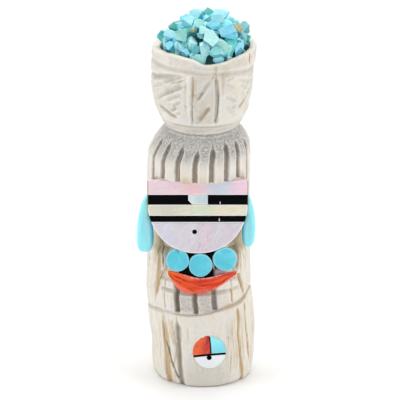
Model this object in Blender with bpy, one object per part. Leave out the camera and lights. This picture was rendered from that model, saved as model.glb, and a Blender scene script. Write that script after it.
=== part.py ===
"""A small standing maiden carved from one length of antler, with a water jar on her head.

The jar holds a bonded heap of turquoise chips. The face, earrings, necklace and the round
sun on the skirt are thin plates of shell, jet, turquoise and coral. Lengths are millimetres
until a mesh is made. She faces -Y and +X is on the viewer's right. The origin is the middle
of her flat underside, and angles round the antler run from the front, +X positive.
"""
import math
import random

import bmesh
import bpy
from mathutils import Vector
from mathutils.geometry import delaunay_2d_cdt

MM = 0.001
GAP = 0.3  # clearance between a piece and the piece it is set in or beside
SOFT_EDGES, ROUND_EDGES = 28.0, 50.0  # edges flatter than this angle are shaded smooth
TOOL_REACH = 4.0  # how far a cutting tool stands out of what it cuts

# ---------------------------------------------------------------- the antler's own shape
# height, half width, and how far the middle of the section lies along +X
PROFILE = (
    (0.0, 11.9, 0.75),
    (0.4, 12.5, 0.75),
    (1.4, 12.95, 0.8),
    (4.5, 13.45, 0.8),
    (9.0, 13.65, 0.78),
    (15.0, 13.95, 0.4),
    (21.5, 13.85, -0.15),
    (25.0, 13.8, -0.4),
    (35.5, 13.55, -0.4),
    (60.0, 13.45, -0.25),
    (62.0, 13.4, -0.2),
    (63.5, 13.2, 0.0),
    (65.0, 12.7, 0.3),
    (66.5, 11.9, 0.5),
    (68.0, 10.8, 0.5),
    (69.8, 9.7, 0.5),
    (71.0, 10.4, 0.55),
    (72.4, 11.2, 0.62),
    (74.5, 12.05, 0.68),
    (76.5, 12.65, 0.66),
    (79.5, 13.2, 0.68),
    (83.0, 13.45, 0.74),
    (87.0, 13.55, 0.85),
    (92.0, 13.45, 1.2),
)
DEPTH = 0.97  # depth of the section over its width

# ---------------------------------------------------------------- carved levels
BASE_HEIGHTS = (0.0, 0.4, 1.4, 4.5, 9.0, 15.0)
BELT_HEIGHT = 21.6  # the groove round the body under the belt of blocks
BELT_SLOPE = 1.9  # the belt groove climbs this much from the middle to the viewer's right
BLOCK_SPLIT = 26.9  # groove between the two rows of blocks
BLOCK_TOP = 28.9
CHEST_HEIGHTS = (29.4, 33.0)
SHOULDER_LOW = 36.6
SHOULDER_TOP = 38.8
HAIR_BOTTOM = 57.5  # over the face
HAIR_DROP = 12.5  # the hair hangs this much lower at the sides and down the back
HAIR_DROP_FROM, HAIR_DROP_FULL = 56.0, 84.0  # the angles over which it comes down
NECK_INSET = 1.15  # the head is this much slimmer than the hair
GROOVE_TOP = 67.6
CROWN_HEIGHTS = (62.0, 63.5, 65.0, 66.5)
NECK_LINE_LOW, NECK_LINE_HIGH = 69.8, 72.4
# half width and depth of the grooves that run round her
BELT_GROOVE, BLOCK_GROOVE = (0.55, 0.6), (0.45, 0.5)
NECK_GROOVE, BAND_GROOVE = (0.4, 0.35), (0.5, 0.45)
JAR_HEIGHTS = (74.5, 76.5, 79.5, 83.0)
JAR_BAND = 87.2
RIM_HEIGHT = 91.4
RIM_ROUNDING = 0.4
RIM_DIP = 1.8  # the rim is worn lower at the front
RIM_DIP_ANGLE, RIM_DIP_SPREAD = 9.0, 22.0
CUP_RADIUS = 11.5
CUP_TAPER = 1.0
CUP_FLOOR = 82.5
CUP_FLOOR_RADIUS = 9.0
CUP_DEPTH_LEVELS = (88.5, 85.0)
SPOKE_JOIN = 1e-4  # points of the heap closer than this would be joined

# ---------------------------------------------------------------- upright grooves
GROOVES = 19
GROOVE_STEP = 360.0 / GROOVES
GROOVE_START = -4.5
GROOVE_DRIFT = 2.6  # the carver's spacing drifts by this much
GROOVE_HALF_ANGLE = 3.1
HAIR_GROOVE_DEPTH = 1.0
# The upright lines of the other zones carry on from a hair groove, which the key names by
# its place from the front. Each has its angle at the top, its angle at the foot and a depth.
UPRIGHT_LINES = {
    "rim": {
        -5: (-96.0, -96.0, 0.0),
        -1: (-19.5, -19.5, 0.0),
        0: (-11.5, -11.5, 0.0),
        1: (16.0, 16.0, 0.0),
        5: (90.0, 90.0, 0.0),
        9: (166.0, 166.0, 0.0),
    },
    "jar": {
        -5: (-96.0, -96.0, 0.4),
        -1: (-19.5, -19.5, 0.3),
        0: (-11.5, -13.0, 0.45),
        1: (16.0, 18.5, 0.5),
        5: (90.0, 90.0, 0.4),
        9: (166.0, 166.0, 0.4),
    },
    "blocks": {
        -3: (-58.0, -61.0, 0.4),
        -2: (-42.0, -42.0, 0.4),
        -1: (-25.0, -24.5, 0.8),
        0: (-3.5, -3.2, 0.7),
        1: (18.5, 18.8, 0.8),
        2: (37.0, 37.5, 0.5),
        3: (57.0, 60.0, 0.5),
    },
    "skirt": {
        -6: (-116.0, -120.0, 0.35),
        -2: (-44.5, -43.5, 0.3),
        -1: (-24.5, -29.5, 0.55),
        2: (43.0, 49.0, 0.35),
        3: (57.0, 65.0, 0.4),
        6: (112.0, 110.0, 0.35),
        9: (160.0, 163.0, 0.3),
    },
}
# ---------------------------------------------------------------- slashes cut in the jar
KNIFE_STATIONS = 5  # a slash follows the round jar over this many stations
KNIFE_PROUD = 0.8  # the tool that cuts a slash stands this far out of the jar
KNIFE_AHEAD = 0.01  # a slash's direction is taken over this share of its length
PANEL_SLASH, LEAF_SLASH = (1.3, 0.5), (1.1, 0.4)  # width and depth
PANEL_TURNS = (0.0, 118.0, -118.0)  # one panel in front and one on each side of the back
PANEL_SLASHES = {  # (angle, height) of both ends
    "upper": ((10.4, 85.6), (-6.1, 80.2)),
    "lower": ((10.5, 78.6), (-5.7, 74.2)),
}
LEAF_SLASHES = (
    ((-23.0, 85.4), (-55.0, 82.8)),
    ((-23.0, 82.6), (-55.0, 79.0)),
    ((-25.0, 74.8), (-64.0, 77.4)),
    ((35.0, 84.8), (78.0, 82.4)),
    ((23.5, 81.2), (43.0, 78.8)),
)

ZONE_SPANS = {  # the heights at which a zone's lines are at their foot and at their top
    "rim": (JAR_BAND, RIM_HEIGHT),
    "jar": (NECK_LINE_HIGH, JAR_BAND),
    "blocks": (BELT_HEIGHT, BLOCK_TOP),
    "skirt": (0.0, BELT_HEIGHT),
}
BLOCKS_REACH = 64.0  # the rows of blocks end at this angle on both sides
BLOCKS_FROM = 1.0  # the blocks start this far above the belt groove
CHEST_FROM = 0.2  # the chest starts this far above the blocks
SHAWL_LEFT, SHAWL_RIGHT = -43.0, 46.0  # the shawl's front edges at the shoulders
SHAWL_FLARE = 14.0  # they part by this much more at the belt
SHAWL_RECESS = 0.9  # the chest between the shawl's edges lies this much deeper
BLOCK_RECESS = 0.3

# ---------------------------------------------------------------- the face plate's frame
LEAN = math.radians(7.0)
PLATE_TOP = Vector((0.0, -10.4, 57.4))
PLATE_OUT = Vector((0.0, -math.cos(LEAN), math.sin(LEAN)))
PLATE_DOWN = Vector((0.0, -math.sin(LEAN), -math.cos(LEAN)))
PLATE_THICK = 2.0
PLATE_MIDDLE = -0.52
PLATE_HALF_WIDTH = 13.05
CHIN_FROM = 5.84  # how far down the plate's straight sides end and the round chin starts
CHIN_DROP = 13.5
CHIN_ROUNDNESS = 2.25  # exponent of the chin's curve; 2 is an ellipse
CHIN_POINTS = 13
EDGE_CHAMFER = 0.25
JOINTS = (0.0, 3.72, 6.25, 9.3, 10.85)  # how far down the plate each band starts
NOSE_LEFT, NOSE_RIGHT = -3.1, 2.05
NOSE_CUT = 0.85  # the nose piece's lower left corner is cut off by this much
MOUTH = (-1.4, 13.5)
MOUTH_RADIUS = 0.62
MOUTH_FLOOR = -1.2
DOT_PROUD = 0.05  # the round jet dots stand this much above the plate they are set in
DOT_CHAMFER = 0.1
DOT_POINTS = 14

DISC_RADIUS = 2.9
DISC_CENTRES = {"left": (-5.85, 21.25), "middle": (0.27, 22.6), "right": (6.6, 20.95)}
DISC_BACK, DISC_FRONT = -0.8, 0.1
DISC_POINTS = 28
BACKING_FRONT = -1.1
BACKING_REACH = 2.3  # the backing reaches this far out from the outer discs' middles
BACKING_SHORT = 4  # the backing stops this many stations short of the crescent's tips
CORAL_TIPS = (-8.3, 9.6)
CORAL_LOWEST_X = -0.6
CORAL_TOP_DROP = 24.1
CORAL_TOP_SAG = 1.9
CORAL_DEPTH = 6.0
CORAL_LEFT_POWER, CORAL_RIGHT_POWER = 3.0, 2.35
CORAL_STATIONS = 22
CORAL_TIP_WIDTH = 0.45  # the crescent's blunt tips
CORAL_RIDGE = 0.45  # height of the ridge above the plate's face, where the crescent is wide
CORAL_RIDGE_FULL = 4.0  # the ridge reaches that height where the crescent is this wide
CORAL_RIDGE_SHARE = 0.62  # the ridge lies this far from the upper edge to the lower
CORAL_LOWER_RIM, CORAL_UPPER_RIM = -0.9, -0.35  # the front edges, behind the plate's face

EARRING_BACK, EARRING_FRONT = -4.3, -2.3  # behind the plate, which they are fixed to
EARRING_CHAMFER = 0.5
EARRINGS = {  # middle, half width, top drop and bottom drop, all on the plate's face
    "left": (-14.15, 2.3, 1.6, 19.9),
    "right": (12.45, 1.95, 1.6, 18.8),
}
EARRING_TOP_SHIFT = 1.4  # the narrow end tucks in behind the plate
EARRING_WIDEST = 0.76  # how far down its length an earring is widest
EARRING_TOP_WIDTH = 0.42  # share of the full width at the top
EARRING_STATIONS = 9

# ---------------------------------------------------------------- the sun on the skirt
SUN_MIDDLE = Vector((2.5, -13.0, 10.5))
SUN_TURN = math.radians(6.0)
SUN_ACROSS = Vector((math.cos(SUN_TURN), math.sin(SUN_TURN), 0.0))
SUN_OUT = Vector((math.sin(SUN_TURN), -math.cos(SUN_TURN), 0.0))
SUN_UP = Vector((0.0, 0.0, 1.0))
SUN_HALF_WIDTH, SUN_HALF_HEIGHT = 4.35, 4.7
SUN_THICK = 1.3
SUN_BAR_DROP = 0.73  # the bar lies below the middle
SUN_BAR_TILT = math.radians(3.8)
SUN_BAR_HALF = 0.26
SUN_BAR_SHARE = 0.965  # the bar stops just short of the rim at both ends
SUN_DIVIDER_X = 0.3
SUN_DIVIDER_HALF = 0.15
SUN_DOT = (0.05, -1.54)
SUN_DOT_RADIUS = 0.62
SUN_POINTS = 40
SUN_ARC_POINTS = 12  # points on the rim of a quarter
SUN_CHAMFER = 0.08
RIM_SHARE = 0.98  # where the bar's edges meet the rim, as a share of the half width

# ---------------------------------------------------------------- the chips in the jar
HEAP_MIDDLE = (1.3, 0.0)
HEAP_FOOT = 0.3  # the heap starts this far over the rim
HEAP_HEIGHT = 8.0
HEAP_POWER = 3.0
HEAP_SPOKES = 24
HEAP_CHIP = 2.7  # the usual width of a chip
HEAP_MARGIN = 1.6  # chips' middles stay this far inside the cup
HEAP_ROW = math.sin(math.radians(60.0))  # rows lie this share of a chip apart
HEAP_SCATTER = 0.7
HEAP_ROUGHNESS = 1.2
HEAP_SEED = 11

# name: colour, roughness
MATERIALS = {
    "antler": ((0.62, 0.57, 0.49), 0.6),
    "turquoise": ((0.13, 0.55, 0.66), 0.35),
    "chip_turquoise": ((0.16, 0.56, 0.58), 0.45),
    "coral": ((0.72, 0.09, 0.04), 0.3),
    "jet": ((0.008, 0.008, 0.01), 0.2),
    "pink_shell": ((0.79, 0.6, 0.65), 0.25),
    "gold_shell": ((0.68, 0.67, 0.52), 0.25),
    "white_shell": ((0.8, 0.82, 0.84), 0.25),
}


def blend(low, high, value):
    """0 below low, 1 above high, and a smooth rise between them."""
    t = min(max((value - low) / (high - low), 0.0), 1.0)
    return t * t * (3.0 - 2.0 * t)


def mix(a, b, share):
    return a + (b - a) * share


# ================================================================ the antler's surface
def section(height):
    """Half width and middle of the antler at a height."""
    last = PROFILE[0]
    for station in PROFILE[1:]:
        if height <= station[0]:
            share = (height - last[0]) / (station[0] - last[0])
            return mix(last[1], station[1], share), mix(last[2], station[2], share)
        last = station
    return last[1], last[2]


def on_antler(angle, height, inset=0.0):
    """The point at an angle in degrees and a height, set in from the surface."""
    half, middle = section(height)
    turn = math.radians(angle)
    x = middle + (half - inset) * math.sin(turn)
    y = -DEPTH * (half - inset) * math.cos(turn)
    return Vector((x, y, height))


def groove_angle(k):
    drift = GROOVE_DRIFT * math.sin(math.radians(30.0 * (k - 0.5))) ** 2
    return GROOVE_START + GROOVE_STEP * k - drift


def upright_line(k, zone, height):
    """Angle and depth of upright line k where a row of a zone crosses it."""
    if zone == "hair":
        return groove_angle(k), HAIR_GROOVE_DEPTH
    if k not in UPRIGHT_LINES.get(zone, {}):
        return groove_angle(k), 0.0
    top, foot, depth = UPRIGHT_LINES[zone][k]
    low, high = ZONE_SPANS[zone]
    return mix(foot, top, (height - low) / (high - low)), depth


def belt_height(angle):
    turn = math.radians(angle)
    return BELT_HEIGHT + BELT_SLOPE * math.sin(turn)


def hair_bottom(angle):
    return HAIR_BOTTOM - HAIR_DROP * blend(HAIR_DROP_FROM, HAIR_DROP_FULL, abs(angle))


def rim_height(angle):
    away = (angle - RIM_DIP_ANGLE) / RIM_DIP_SPREAD
    return RIM_HEIGHT - RIM_DIP * math.exp(-away * away)


def columns():
    """(groove, offset in degrees, whether it is the groove's floor) round the antler."""
    found = []
    first = -(GROOVES // 2)
    for k in range(first, first + GROOVES):
        here = groove_angle(k)
        after = groove_angle(k + 1) if k < first + GROOVES - 1 else groove_angle(first) + 360.0
        found += [
            (k, -GROOVE_HALF_ANGLE, False),
            (k, 0.0, True),
            (k, GROOVE_HALF_ANGLE, False),
            (k, (after - here) / 2.0, False),
        ]
    return found


def level(height):
    """A row at one height all the way round."""
    return lambda angle: height


def above(line, shift):
    """A row that follows a carved line a little above or below it."""
    return lambda angle: line(angle) + shift


def hair_row(share):
    """A row part of the way from the hair's lower edge to the crown."""
    return lambda angle: mix(hair_bottom(angle), CROWN_HEIGHTS[0], share)


def head_row(share):
    """A row part of the way from the shoulders to the hair's lower edge."""
    return lambda angle: mix(SHOULDER_TOP, hair_bottom(angle) - GAP, share)


def carved_line(line, zone, half_width, depth):
    """Three rows that cut a V groove along a line."""
    edges = [(above(line, shift), 0.0, zone) for shift in (-half_width, half_width)]
    return [edges[0], (line, depth, zone), edges[1]]


def row_plan():
    """(height at an angle, how deep the row lies, its zone), from the foot to the rim."""
    plan = [(level(h), 0.0, "skirt") for h in BASE_HEIGHTS]
    plan += carved_line(belt_height, "skirt", *BELT_GROOVE)
    plan += carved_line(level(BLOCK_SPLIT), "blocks", *BLOCK_GROOVE)
    plan.append((level(BLOCK_TOP), 0.0, "blocks"))
    plan += [(level(h), 0.0, "chest") for h in CHEST_HEIGHTS + (SHOULDER_LOW,)]
    plan += [(head_row(share), NECK_INSET, "head") for share in (0.0, 0.5, 1.0)]
    plan += [(hair_row(share), 0.0, "hair") for share in (0.0, 0.5, 1.0)]
    plan += [(level(h), 0.0, "hair") for h in CROWN_HEIGHTS[1:]]
    plan.append((level(GROOVE_TOP), 0.0, "crown"))
    plan += carved_line(level(NECK_LINE_LOW), "crown", *NECK_GROOVE)
    plan += carved_line(level(NECK_LINE_HIGH), "jar foot", *NECK_GROOVE)
    plan += [(level(h), 0.0, "jar") for h in JAR_HEIGHTS]
    plan += carved_line(level(JAR_BAND), "jar", *BAND_GROOVE)
    plan.append((above(rim_height, -RIM_ROUNDING), 0.0, "rim"))
    plan.append((rim_height, RIM_ROUNDING, "rim"))
    return plan


def chest_inset(angle, height):
    """The chest and the belt's blocks lie lower than the shawl's edges on both sides."""
    if not BELT_HEIGHT + BLOCKS_FROM < height < SHOULDER_TOP:
        return 0.0
    share = (height - BELT_HEIGHT) / (CHEST_HEIGHTS[1] - BELT_HEIGHT)
    flare = SHAWL_FLARE * (1.0 - blend(0.0, 1.0, share))
    inside = SHAWL_LEFT - flare < angle < SHAWL_RIGHT + flare
    deep = SHAWL_RECESS if height > BLOCK_TOP + CHEST_FROM else BLOCK_RECESS
    return deep if inside else 0.0


def antler_rings():
    """Rings of points from the underside up the outside, over the rim and down the cup."""
    plan, cols = row_plan(), columns()
    rings = []
    for height_of, row_inset, zone in plan:
        ring = []
        for k, offset, floor in cols:
            height = height_of(groove_angle(k) + offset)
            angle, depth = upright_line(k, zone, height)
            angle += offset
            inset = max(row_inset, depth) if floor else row_inset
            if zone == "blocks" and abs(angle) > BLOCKS_REACH:
                inset = 0.0
            ring.append(on_antler(angle, height, inset + chest_inset(angle, height)))
        rings.append(ring)
    around = [groove_angle(k) + offset for k, offset, _ in cols]
    rings.append([cup_point(a, rim_height(a), CUP_RADIUS) for a in around])
    for height in CUP_DEPTH_LEVELS:
        rings.append([cup_point(a, height, cup_radius(height)) for a in around])
    rings.append([cup_point(a, CUP_FLOOR, CUP_FLOOR_RADIUS) for a in around])
    return rings


def cup_radius(height):
    """The cup narrows a little towards its floor."""
    return CUP_RADIUS - CUP_TAPER * (RIM_HEIGHT - height) / (RIM_HEIGHT - CUP_FLOOR)


def cup_point(angle, height, radius):
    turn = math.radians(angle)
    return Vector((HEAP_MIDDLE[0] + radius * math.sin(turn), -radius * math.cos(turn), height))


# ================================================================ mesh helpers
def material(name):
    made = bpy.data.materials.get(name)
    if made is None:
        colour, roughness = MATERIALS[name]
        made = bpy.data.materials.new(name)
        made.use_nodes = True
        shader = made.node_tree.nodes["Principled BSDF"]
        shader.inputs["Base Color"].default_value = (*colour, 1.0)
        shader.inputs["Roughness"].default_value = roughness
        shader.inputs["Metallic"].default_value = 0.0
    return made


def finish(bm, name, material_name, smooth_below=None):
    """Turns a bmesh in millimetres into a named object in metres."""
    bmesh.ops.recalc_face_normals(bm, faces=bm.faces)
    bmesh.ops.scale(bm, vec=(MM, MM, MM), verts=bm.verts)
    mesh = bpy.data.meshes.new(name)
    bm.to_mesh(mesh)
    bm.free()
    if smooth_below is not None:
        mesh.shade_smooth()
        mesh.set_sharp_from_angle(angle=math.radians(smooth_below))
    made = bpy.data.objects.new(name, mesh)
    bpy.context.scene.collection.objects.link(made)
    if material_name:
        mesh.materials.append(material(material_name))
    return made


def skin(rings):
    """Joins closed rings of equal length, and closes the first and the last."""
    bm = bmesh.new()
    made = [[bm.verts.new(p) for p in ring] for ring in rings]
    count = len(rings[0])
    for low, high in zip(made, made[1:]):
        for i in range(count):
            after = (i + 1) % count
            bm.faces.new((low[i], low[after], high[after], high[i]))
    bm.faces.new(reversed(made[0]))
    bm.faces.new(made[-1])
    return bm


def inset_outline(outline, distance):
    """Moves each corner of a flat outline inwards, or outwards when distance is negative."""
    area = sum(a[0] * b[1] - b[0] * a[1] for a, b in zip(outline, outline[1:] + outline[:1]))
    side = 1.0 if area > 0 else -1.0
    moved = []
    for i, here in enumerate(outline):
        before, after = outline[i - 1], outline[(i + 1) % len(outline)]
        into = Vector((here[0] - before[0], here[1] - before[1])).normalized()
        out = Vector((after[0] - here[0], after[1] - here[1])).normalized()
        normal = Vector((-(into.y + out.y), into.x + out.x)) * side
        normal *= 2.0 / max(normal.length_squared, 0.5)
        moved.append((here[0] + normal.x * distance, here[1] + normal.y * distance))
    return moved


def cutter(made):
    made.hide_render = True
    made.hide_viewport = False
    made.display_type = "WIRE"
    return made


def cut(target, tool):
    """Takes a closed tool out of the target with a Boolean that stays on it."""
    modifier = target.modifiers.new("cut " + tool.name, "BOOLEAN")
    modifier.operation = "DIFFERENCE"
    modifier.solver = "EXACT"
    modifier.object = tool


def plate_point(x, drop, out):
    return PLATE_TOP + Vector((x, 0.0, 0.0)) + PLATE_DOWN * drop + PLATE_OUT * out


def sun_point(x, up, out):
    return SUN_MIDDLE + SUN_ACROSS * x + SUN_UP * up + SUN_OUT * out


def plate(place, outline, back, front, chamfer=EDGE_CHAMFER):
    """A flat plate of a closed outline with a small chamfer round its front edge."""
    rings = [
        [place(x, y, back) for x, y in outline],
        [place(x, y, front - chamfer) for x, y in outline],
        [place(x, y, front) for x, y in inset_outline(outline, chamfer)],
    ]
    return skin(rings)


def round_outline(x, y, across, up, points):
    steps = [2.0 * math.pi * i / points for i in range(points)]
    return [(x + across * math.cos(t), y + up * math.sin(t)) for t in steps]


# ================================================================ the antler
def surface_normal(angle, height):
    step = 0.5
    across = on_antler(angle + step, height) - on_antler(angle - step, height)
    up = on_antler(angle, height + step) - on_antler(angle, height - step)
    return across.cross(up).normalized()


def knife_line(name, start, end, width, depth):
    """A V-shaped tool that follows the antler from one (angle, height) to another."""
    rings = []
    for i in range(KNIFE_STATIONS):
        share = i / (KNIFE_STATIONS - 1)
        angle, height = mix(start[0], end[0], share), mix(start[1], end[1], share)
        here, normal = on_antler(angle, height), surface_normal(angle, height)
        onward = (end[0] - start[0]) * KNIFE_AHEAD, (end[1] - start[1]) * KNIFE_AHEAD
        ahead = on_antler(angle + onward[0], height + onward[1])
        side = normal.cross((ahead - here).normalized()).normalized()
        wide = side * (width / 2.0) * (1.0 + KNIFE_PROUD / depth)
        top = here + normal * KNIFE_PROUD
        rings.append([here - normal * depth, top + wide, top - wide])
    return cutter(finish(skin(rings), name, None))


def jar_cuts():
    """The slashes of the jar's three panels, and the leaf pattern beside the front one."""
    tools = []
    for panel, turn in enumerate(PANEL_TURNS):
        for where, ends in PANEL_SLASHES.items():
            start, end = [(turn + angle, height) for angle, height in ends]
            tools.append(knife_line(f"panel_{panel}_{where}", start, end, *PANEL_SLASH))
    for i, (start, end) in enumerate(LEAF_SLASHES):
        tools.append(knife_line(f"leaf_{i}", start, end, *LEAF_SLASH))
    return tools


def make_antler():
    body = finish(skin(antler_rings()), "antler_body", "antler", smooth_below=SOFT_EDGES)
    for tool in jar_cuts():
        cut(body, tool)
    # The flat that the face, necklace and crescent lie on follows the crescent's lower edge.
    low = [(x, drop + GAP) for x, drop in coral_lower_edge()]
    reach = PLATE_HALF_WIDTH + TOOL_REACH
    outline = [(-reach, -GAP), (-reach, low[0][1])] + low + [(reach, low[-1][1]), (reach, -GAP)]
    rings = [[plate_point(x, d, out) for x, d in outline] for out in (-PLATE_THICK - GAP, TOOL_REACH)]
    cut(body, cutter(finish(skin(rings), "face_flat", None)))
    outline = round_outline(0.0, 0.0, SUN_HALF_WIDTH + GAP, SUN_HALF_HEIGHT + GAP, SUN_POINTS)
    rings = [[sun_point(x, y, out) for x, y in outline] for out in (-SUN_THICK - GAP, TOOL_REACH)]
    cut(body, cutter(finish(skin(rings), "sun_seat", None)))


# ================================================================ the face
def plate_half_width(drop):
    if drop <= CHIN_FROM:
        return PLATE_HALF_WIDTH
    share = min((drop - CHIN_FROM) / CHIN_DROP, 1.0)
    return PLATE_HALF_WIDTH * (1.0 - share**CHIN_ROUNDNESS) ** (1.0 / CHIN_ROUNDNESS)


def band_outline(top, bottom, points=3):
    """The part of the face plate's outline between two drops."""
    drops = [mix(top, bottom, i / (points - 1)) for i in range(points)]
    left = [(PLATE_MIDDLE - plate_half_width(d), d) for d in drops]
    right = [(PLATE_MIDDLE + plate_half_width(d), d) for d in reversed(drops)]
    return left + right


def chin_outline(top):
    """The chin's plate, from its straight top edge round the curve."""
    start = math.acos(min((top - CHIN_FROM) / CHIN_DROP, 1.0) ** (CHIN_ROUNDNESS / 2.0))
    points = []
    for i in range(2 * CHIN_POINTS + 1):
        turn = mix(-start, start, i / (2 * CHIN_POINTS))
        share = 2.0 / CHIN_ROUNDNESS
        across = math.copysign(abs(math.sin(turn)) ** share, turn)
        down = math.cos(turn) ** share
        points.append((PLATE_MIDDLE + PLATE_HALF_WIDTH * across, CHIN_FROM + CHIN_DROP * down))
    return points


def make_face():
    half = GAP / 2.0
    bands = {
        "face_forehead": (JOINTS[0], JOINTS[1] - half, "pink_shell"),
        "face_cheek_band": (JOINTS[2] + half, JOINTS[3] - half, "gold_shell"),
        "face_lip_bar": (JOINTS[3] + half, JOINTS[4] - half, "jet"),
    }
    for name, (top, bottom, look) in bands.items():
        finish(plate(plate_point, band_outline(top, bottom), -PLATE_THICK, 0.0), name, look)
    top, bottom = JOINTS[1] + half, JOINTS[2] - half
    outer = band_outline(top, bottom)
    left = outer[:3] + [(NOSE_LEFT - half + NOSE_CUT, bottom), (NOSE_LEFT - half, bottom - NOSE_CUT)]
    left.append((NOSE_LEFT - half, top))
    right = [(NOSE_RIGHT + half, top), (NOSE_RIGHT + half, bottom)] + outer[3:]
    nose = [(NOSE_LEFT + half, top), (NOSE_LEFT + half, bottom - NOSE_CUT - half)]
    nose += [(NOSE_LEFT + NOSE_CUT + GAP, bottom), (NOSE_RIGHT - half, bottom), (NOSE_RIGHT - half, top)]
    for name, outline, look in (
        ("face_brow_left", left, "jet"),
        ("face_brow_right", right, "jet"),
        ("face_nose", nose, "white_shell"),
    ):
        finish(plate(plate_point, outline, -PLATE_THICK, 0.0), name, look)
    chin = finish(
        plate(plate_point, chin_outline(JOINTS[4] + half), -PLATE_THICK, 0.0),
        "face_chin",
        "pink_shell",
        smooth_below=SOFT_EDGES,
    )
    dot = round_outline(*MOUTH, MOUTH_RADIUS, MOUTH_RADIUS, DOT_POINTS)
    socket = inset_outline(dot, -GAP)
    rings = [[plate_point(x, d, out) for x, d in socket] for out in (MOUTH_FLOOR - GAP, TOOL_REACH)]
    cut(chin, cutter(finish(skin(rings), "mouth_socket", None)))
    finish(plate(plate_point, dot, MOUTH_FLOOR, DOT_PROUD, DOT_CHAMFER), "face_mouth", "jet")


# ================================================================ earrings
def earring_outline(middle, half_width, top, bottom, shift):
    """A long drop with a blunt round foot, drawn out to a narrow top that leans inwards."""
    left, right = [], []
    for i in range(EARRING_STATIONS):
        down = 0.5 - 0.5 * math.cos(math.pi * (i + 0.5) / EARRING_STATIONS)
        if down > EARRING_WIDEST:
            share = math.sqrt(1.0 - ((down - EARRING_WIDEST) / (1.0 - EARRING_WIDEST)) ** 2)
        else:
            share = mix(EARRING_TOP_WIDTH, 1.0, blend(0.0, EARRING_WIDEST, down))
        centre = middle + shift * (1.0 - blend(0.0, EARRING_WIDEST, down))
        left.append((centre - half_width * share, mix(top, bottom, down)))
        right.append((centre + half_width * share, mix(top, bottom, down)))
    return left + right[::-1]


def make_earrings():
    for side, (middle, half_width, top, bottom) in EARRINGS.items():
        shift = EARRING_TOP_SHIFT if side == "left" else -EARRING_TOP_SHIFT
        outline = earring_outline(middle, half_width, top, bottom, shift)
        body = plate(plate_point, outline, EARRING_BACK, EARRING_FRONT, EARRING_CHAMFER)
        finish(body, f"earring_{side}", "turquoise", smooth_below=ROUND_EDGES)


# ================================================================ necklace and crescent
def coral_upper_edge():
    points = []
    middle, half = sum(CORAL_TIPS) / 2.0, (CORAL_TIPS[1] - CORAL_TIPS[0]) / 2.0
    for i in range(CORAL_STATIONS + 1):
        x = mix(CORAL_TIPS[0], CORAL_TIPS[1], i / CORAL_STATIONS)
        away = (x - middle) / half
        points.append((x, CORAL_TOP_DROP + CORAL_TOP_SAG * (1.0 - away * away) ** 2))
    return points


def coral_lower_edge():
    points = []
    for i in range(CORAL_STATIONS + 1):
        x = mix(CORAL_TIPS[0], CORAL_TIPS[1], i / CORAL_STATIONS)
        left = x < CORAL_LOWEST_X
        tip = CORAL_TIPS[0] if left else CORAL_TIPS[1]
        away = (x - CORAL_LOWEST_X) / (tip - CORAL_LOWEST_X)
        power = CORAL_LEFT_POWER if left else CORAL_RIGHT_POWER
        points.append((x, CORAL_TOP_DROP + CORAL_TIP_WIDTH + CORAL_DEPTH * (1.0 - away**power)))
    return points


def make_crescent():
    """A crescent with a ridge along it, lower at both edges."""
    rings = []
    for (x, top), (_, bottom) in zip(coral_upper_edge(), coral_lower_edge()):
        rise = CORAL_RIDGE * min((bottom - top) / CORAL_RIDGE_FULL, 1.0)
        across = (
            (top, -PLATE_THICK),
            (bottom, -PLATE_THICK),
            (bottom, CORAL_LOWER_RIM),
            (mix(top, bottom, CORAL_RIDGE_SHARE), rise),
            (top, CORAL_UPPER_RIM),
        )
        rings.append([plate_point(x, drop, out) for drop, out in across])
    finish(skin(rings), "coral_crescent", "coral", smooth_below=SOFT_EDGES)


def make_necklace():
    top = chin_outline(JOINTS[4] + GAP / 2.0)
    chin = inset_outline(top, -GAP)
    rings = [[plate_point(x, d, out) for x, d in chin] for out in (-PLATE_THICK - GAP, TOOL_REACH)]
    chin_tool = cutter(finish(skin(rings), "chin_room", None))
    for name, (x, drop) in DISC_CENTRES.items():
        outline = round_outline(x, drop, DISC_RADIUS, DISC_RADIUS, DISC_POINTS)
        disc = finish(
            plate(plate_point, outline, DISC_BACK, DISC_FRONT),
            f"necklace_disc_{name}",
            "turquoise",
            smooth_below=SOFT_EDGES,
        )
        if name != "middle":
            cut(disc, chin_tool)
    # The jet behind the discs reaches up to the chin and down to the crescent.
    left, right = DISC_CENTRES["left"], DISC_CENTRES["right"]
    outline = [(left[0], left[1] - BACKING_REACH), (left[0] - BACKING_REACH, left[1])]
    upper = coral_upper_edge()[BACKING_SHORT:-BACKING_SHORT]
    outline += [(x, d - GAP) for x, d in upper]
    outline += [(right[0] + BACKING_REACH, right[1]), (right[0], right[1] - BACKING_REACH)]
    rings = [[plate_point(x, d, out) for x, d in outline] for out in (-PLATE_THICK, BACKING_FRONT)]
    backing = finish(skin(rings), "necklace_backing", "jet")
    cut(backing, chin_tool)


# ================================================================ the sun inlay
def sun_rim(start, end, points):
    """Points on the sun's rim between two angles, from the viewer's right and anticlockwise."""
    turns = [mix(start, end, i / (points - 1)) for i in range(points)]
    return [(SUN_HALF_WIDTH * math.cos(t), SUN_HALF_HEIGHT * math.sin(t)) for t in turns]


def bar_height(x, offset):
    """Height on the sun of a line along the bar, offset from the bar's own middle."""
    return -SUN_BAR_DROP + math.tan(SUN_BAR_TILT) * x + offset


def rim_turn(side, offset):
    """The rim angle where a line along the bar meets the rim on one side."""
    x = side * SUN_HALF_WIDTH * RIM_SHARE
    up = math.asin(bar_height(x, offset) / SUN_HALF_HEIGHT)
    return up if side > 0 else math.pi - up


def rim_above(x):
    return math.acos(x / SUN_HALF_WIDTH)


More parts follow.
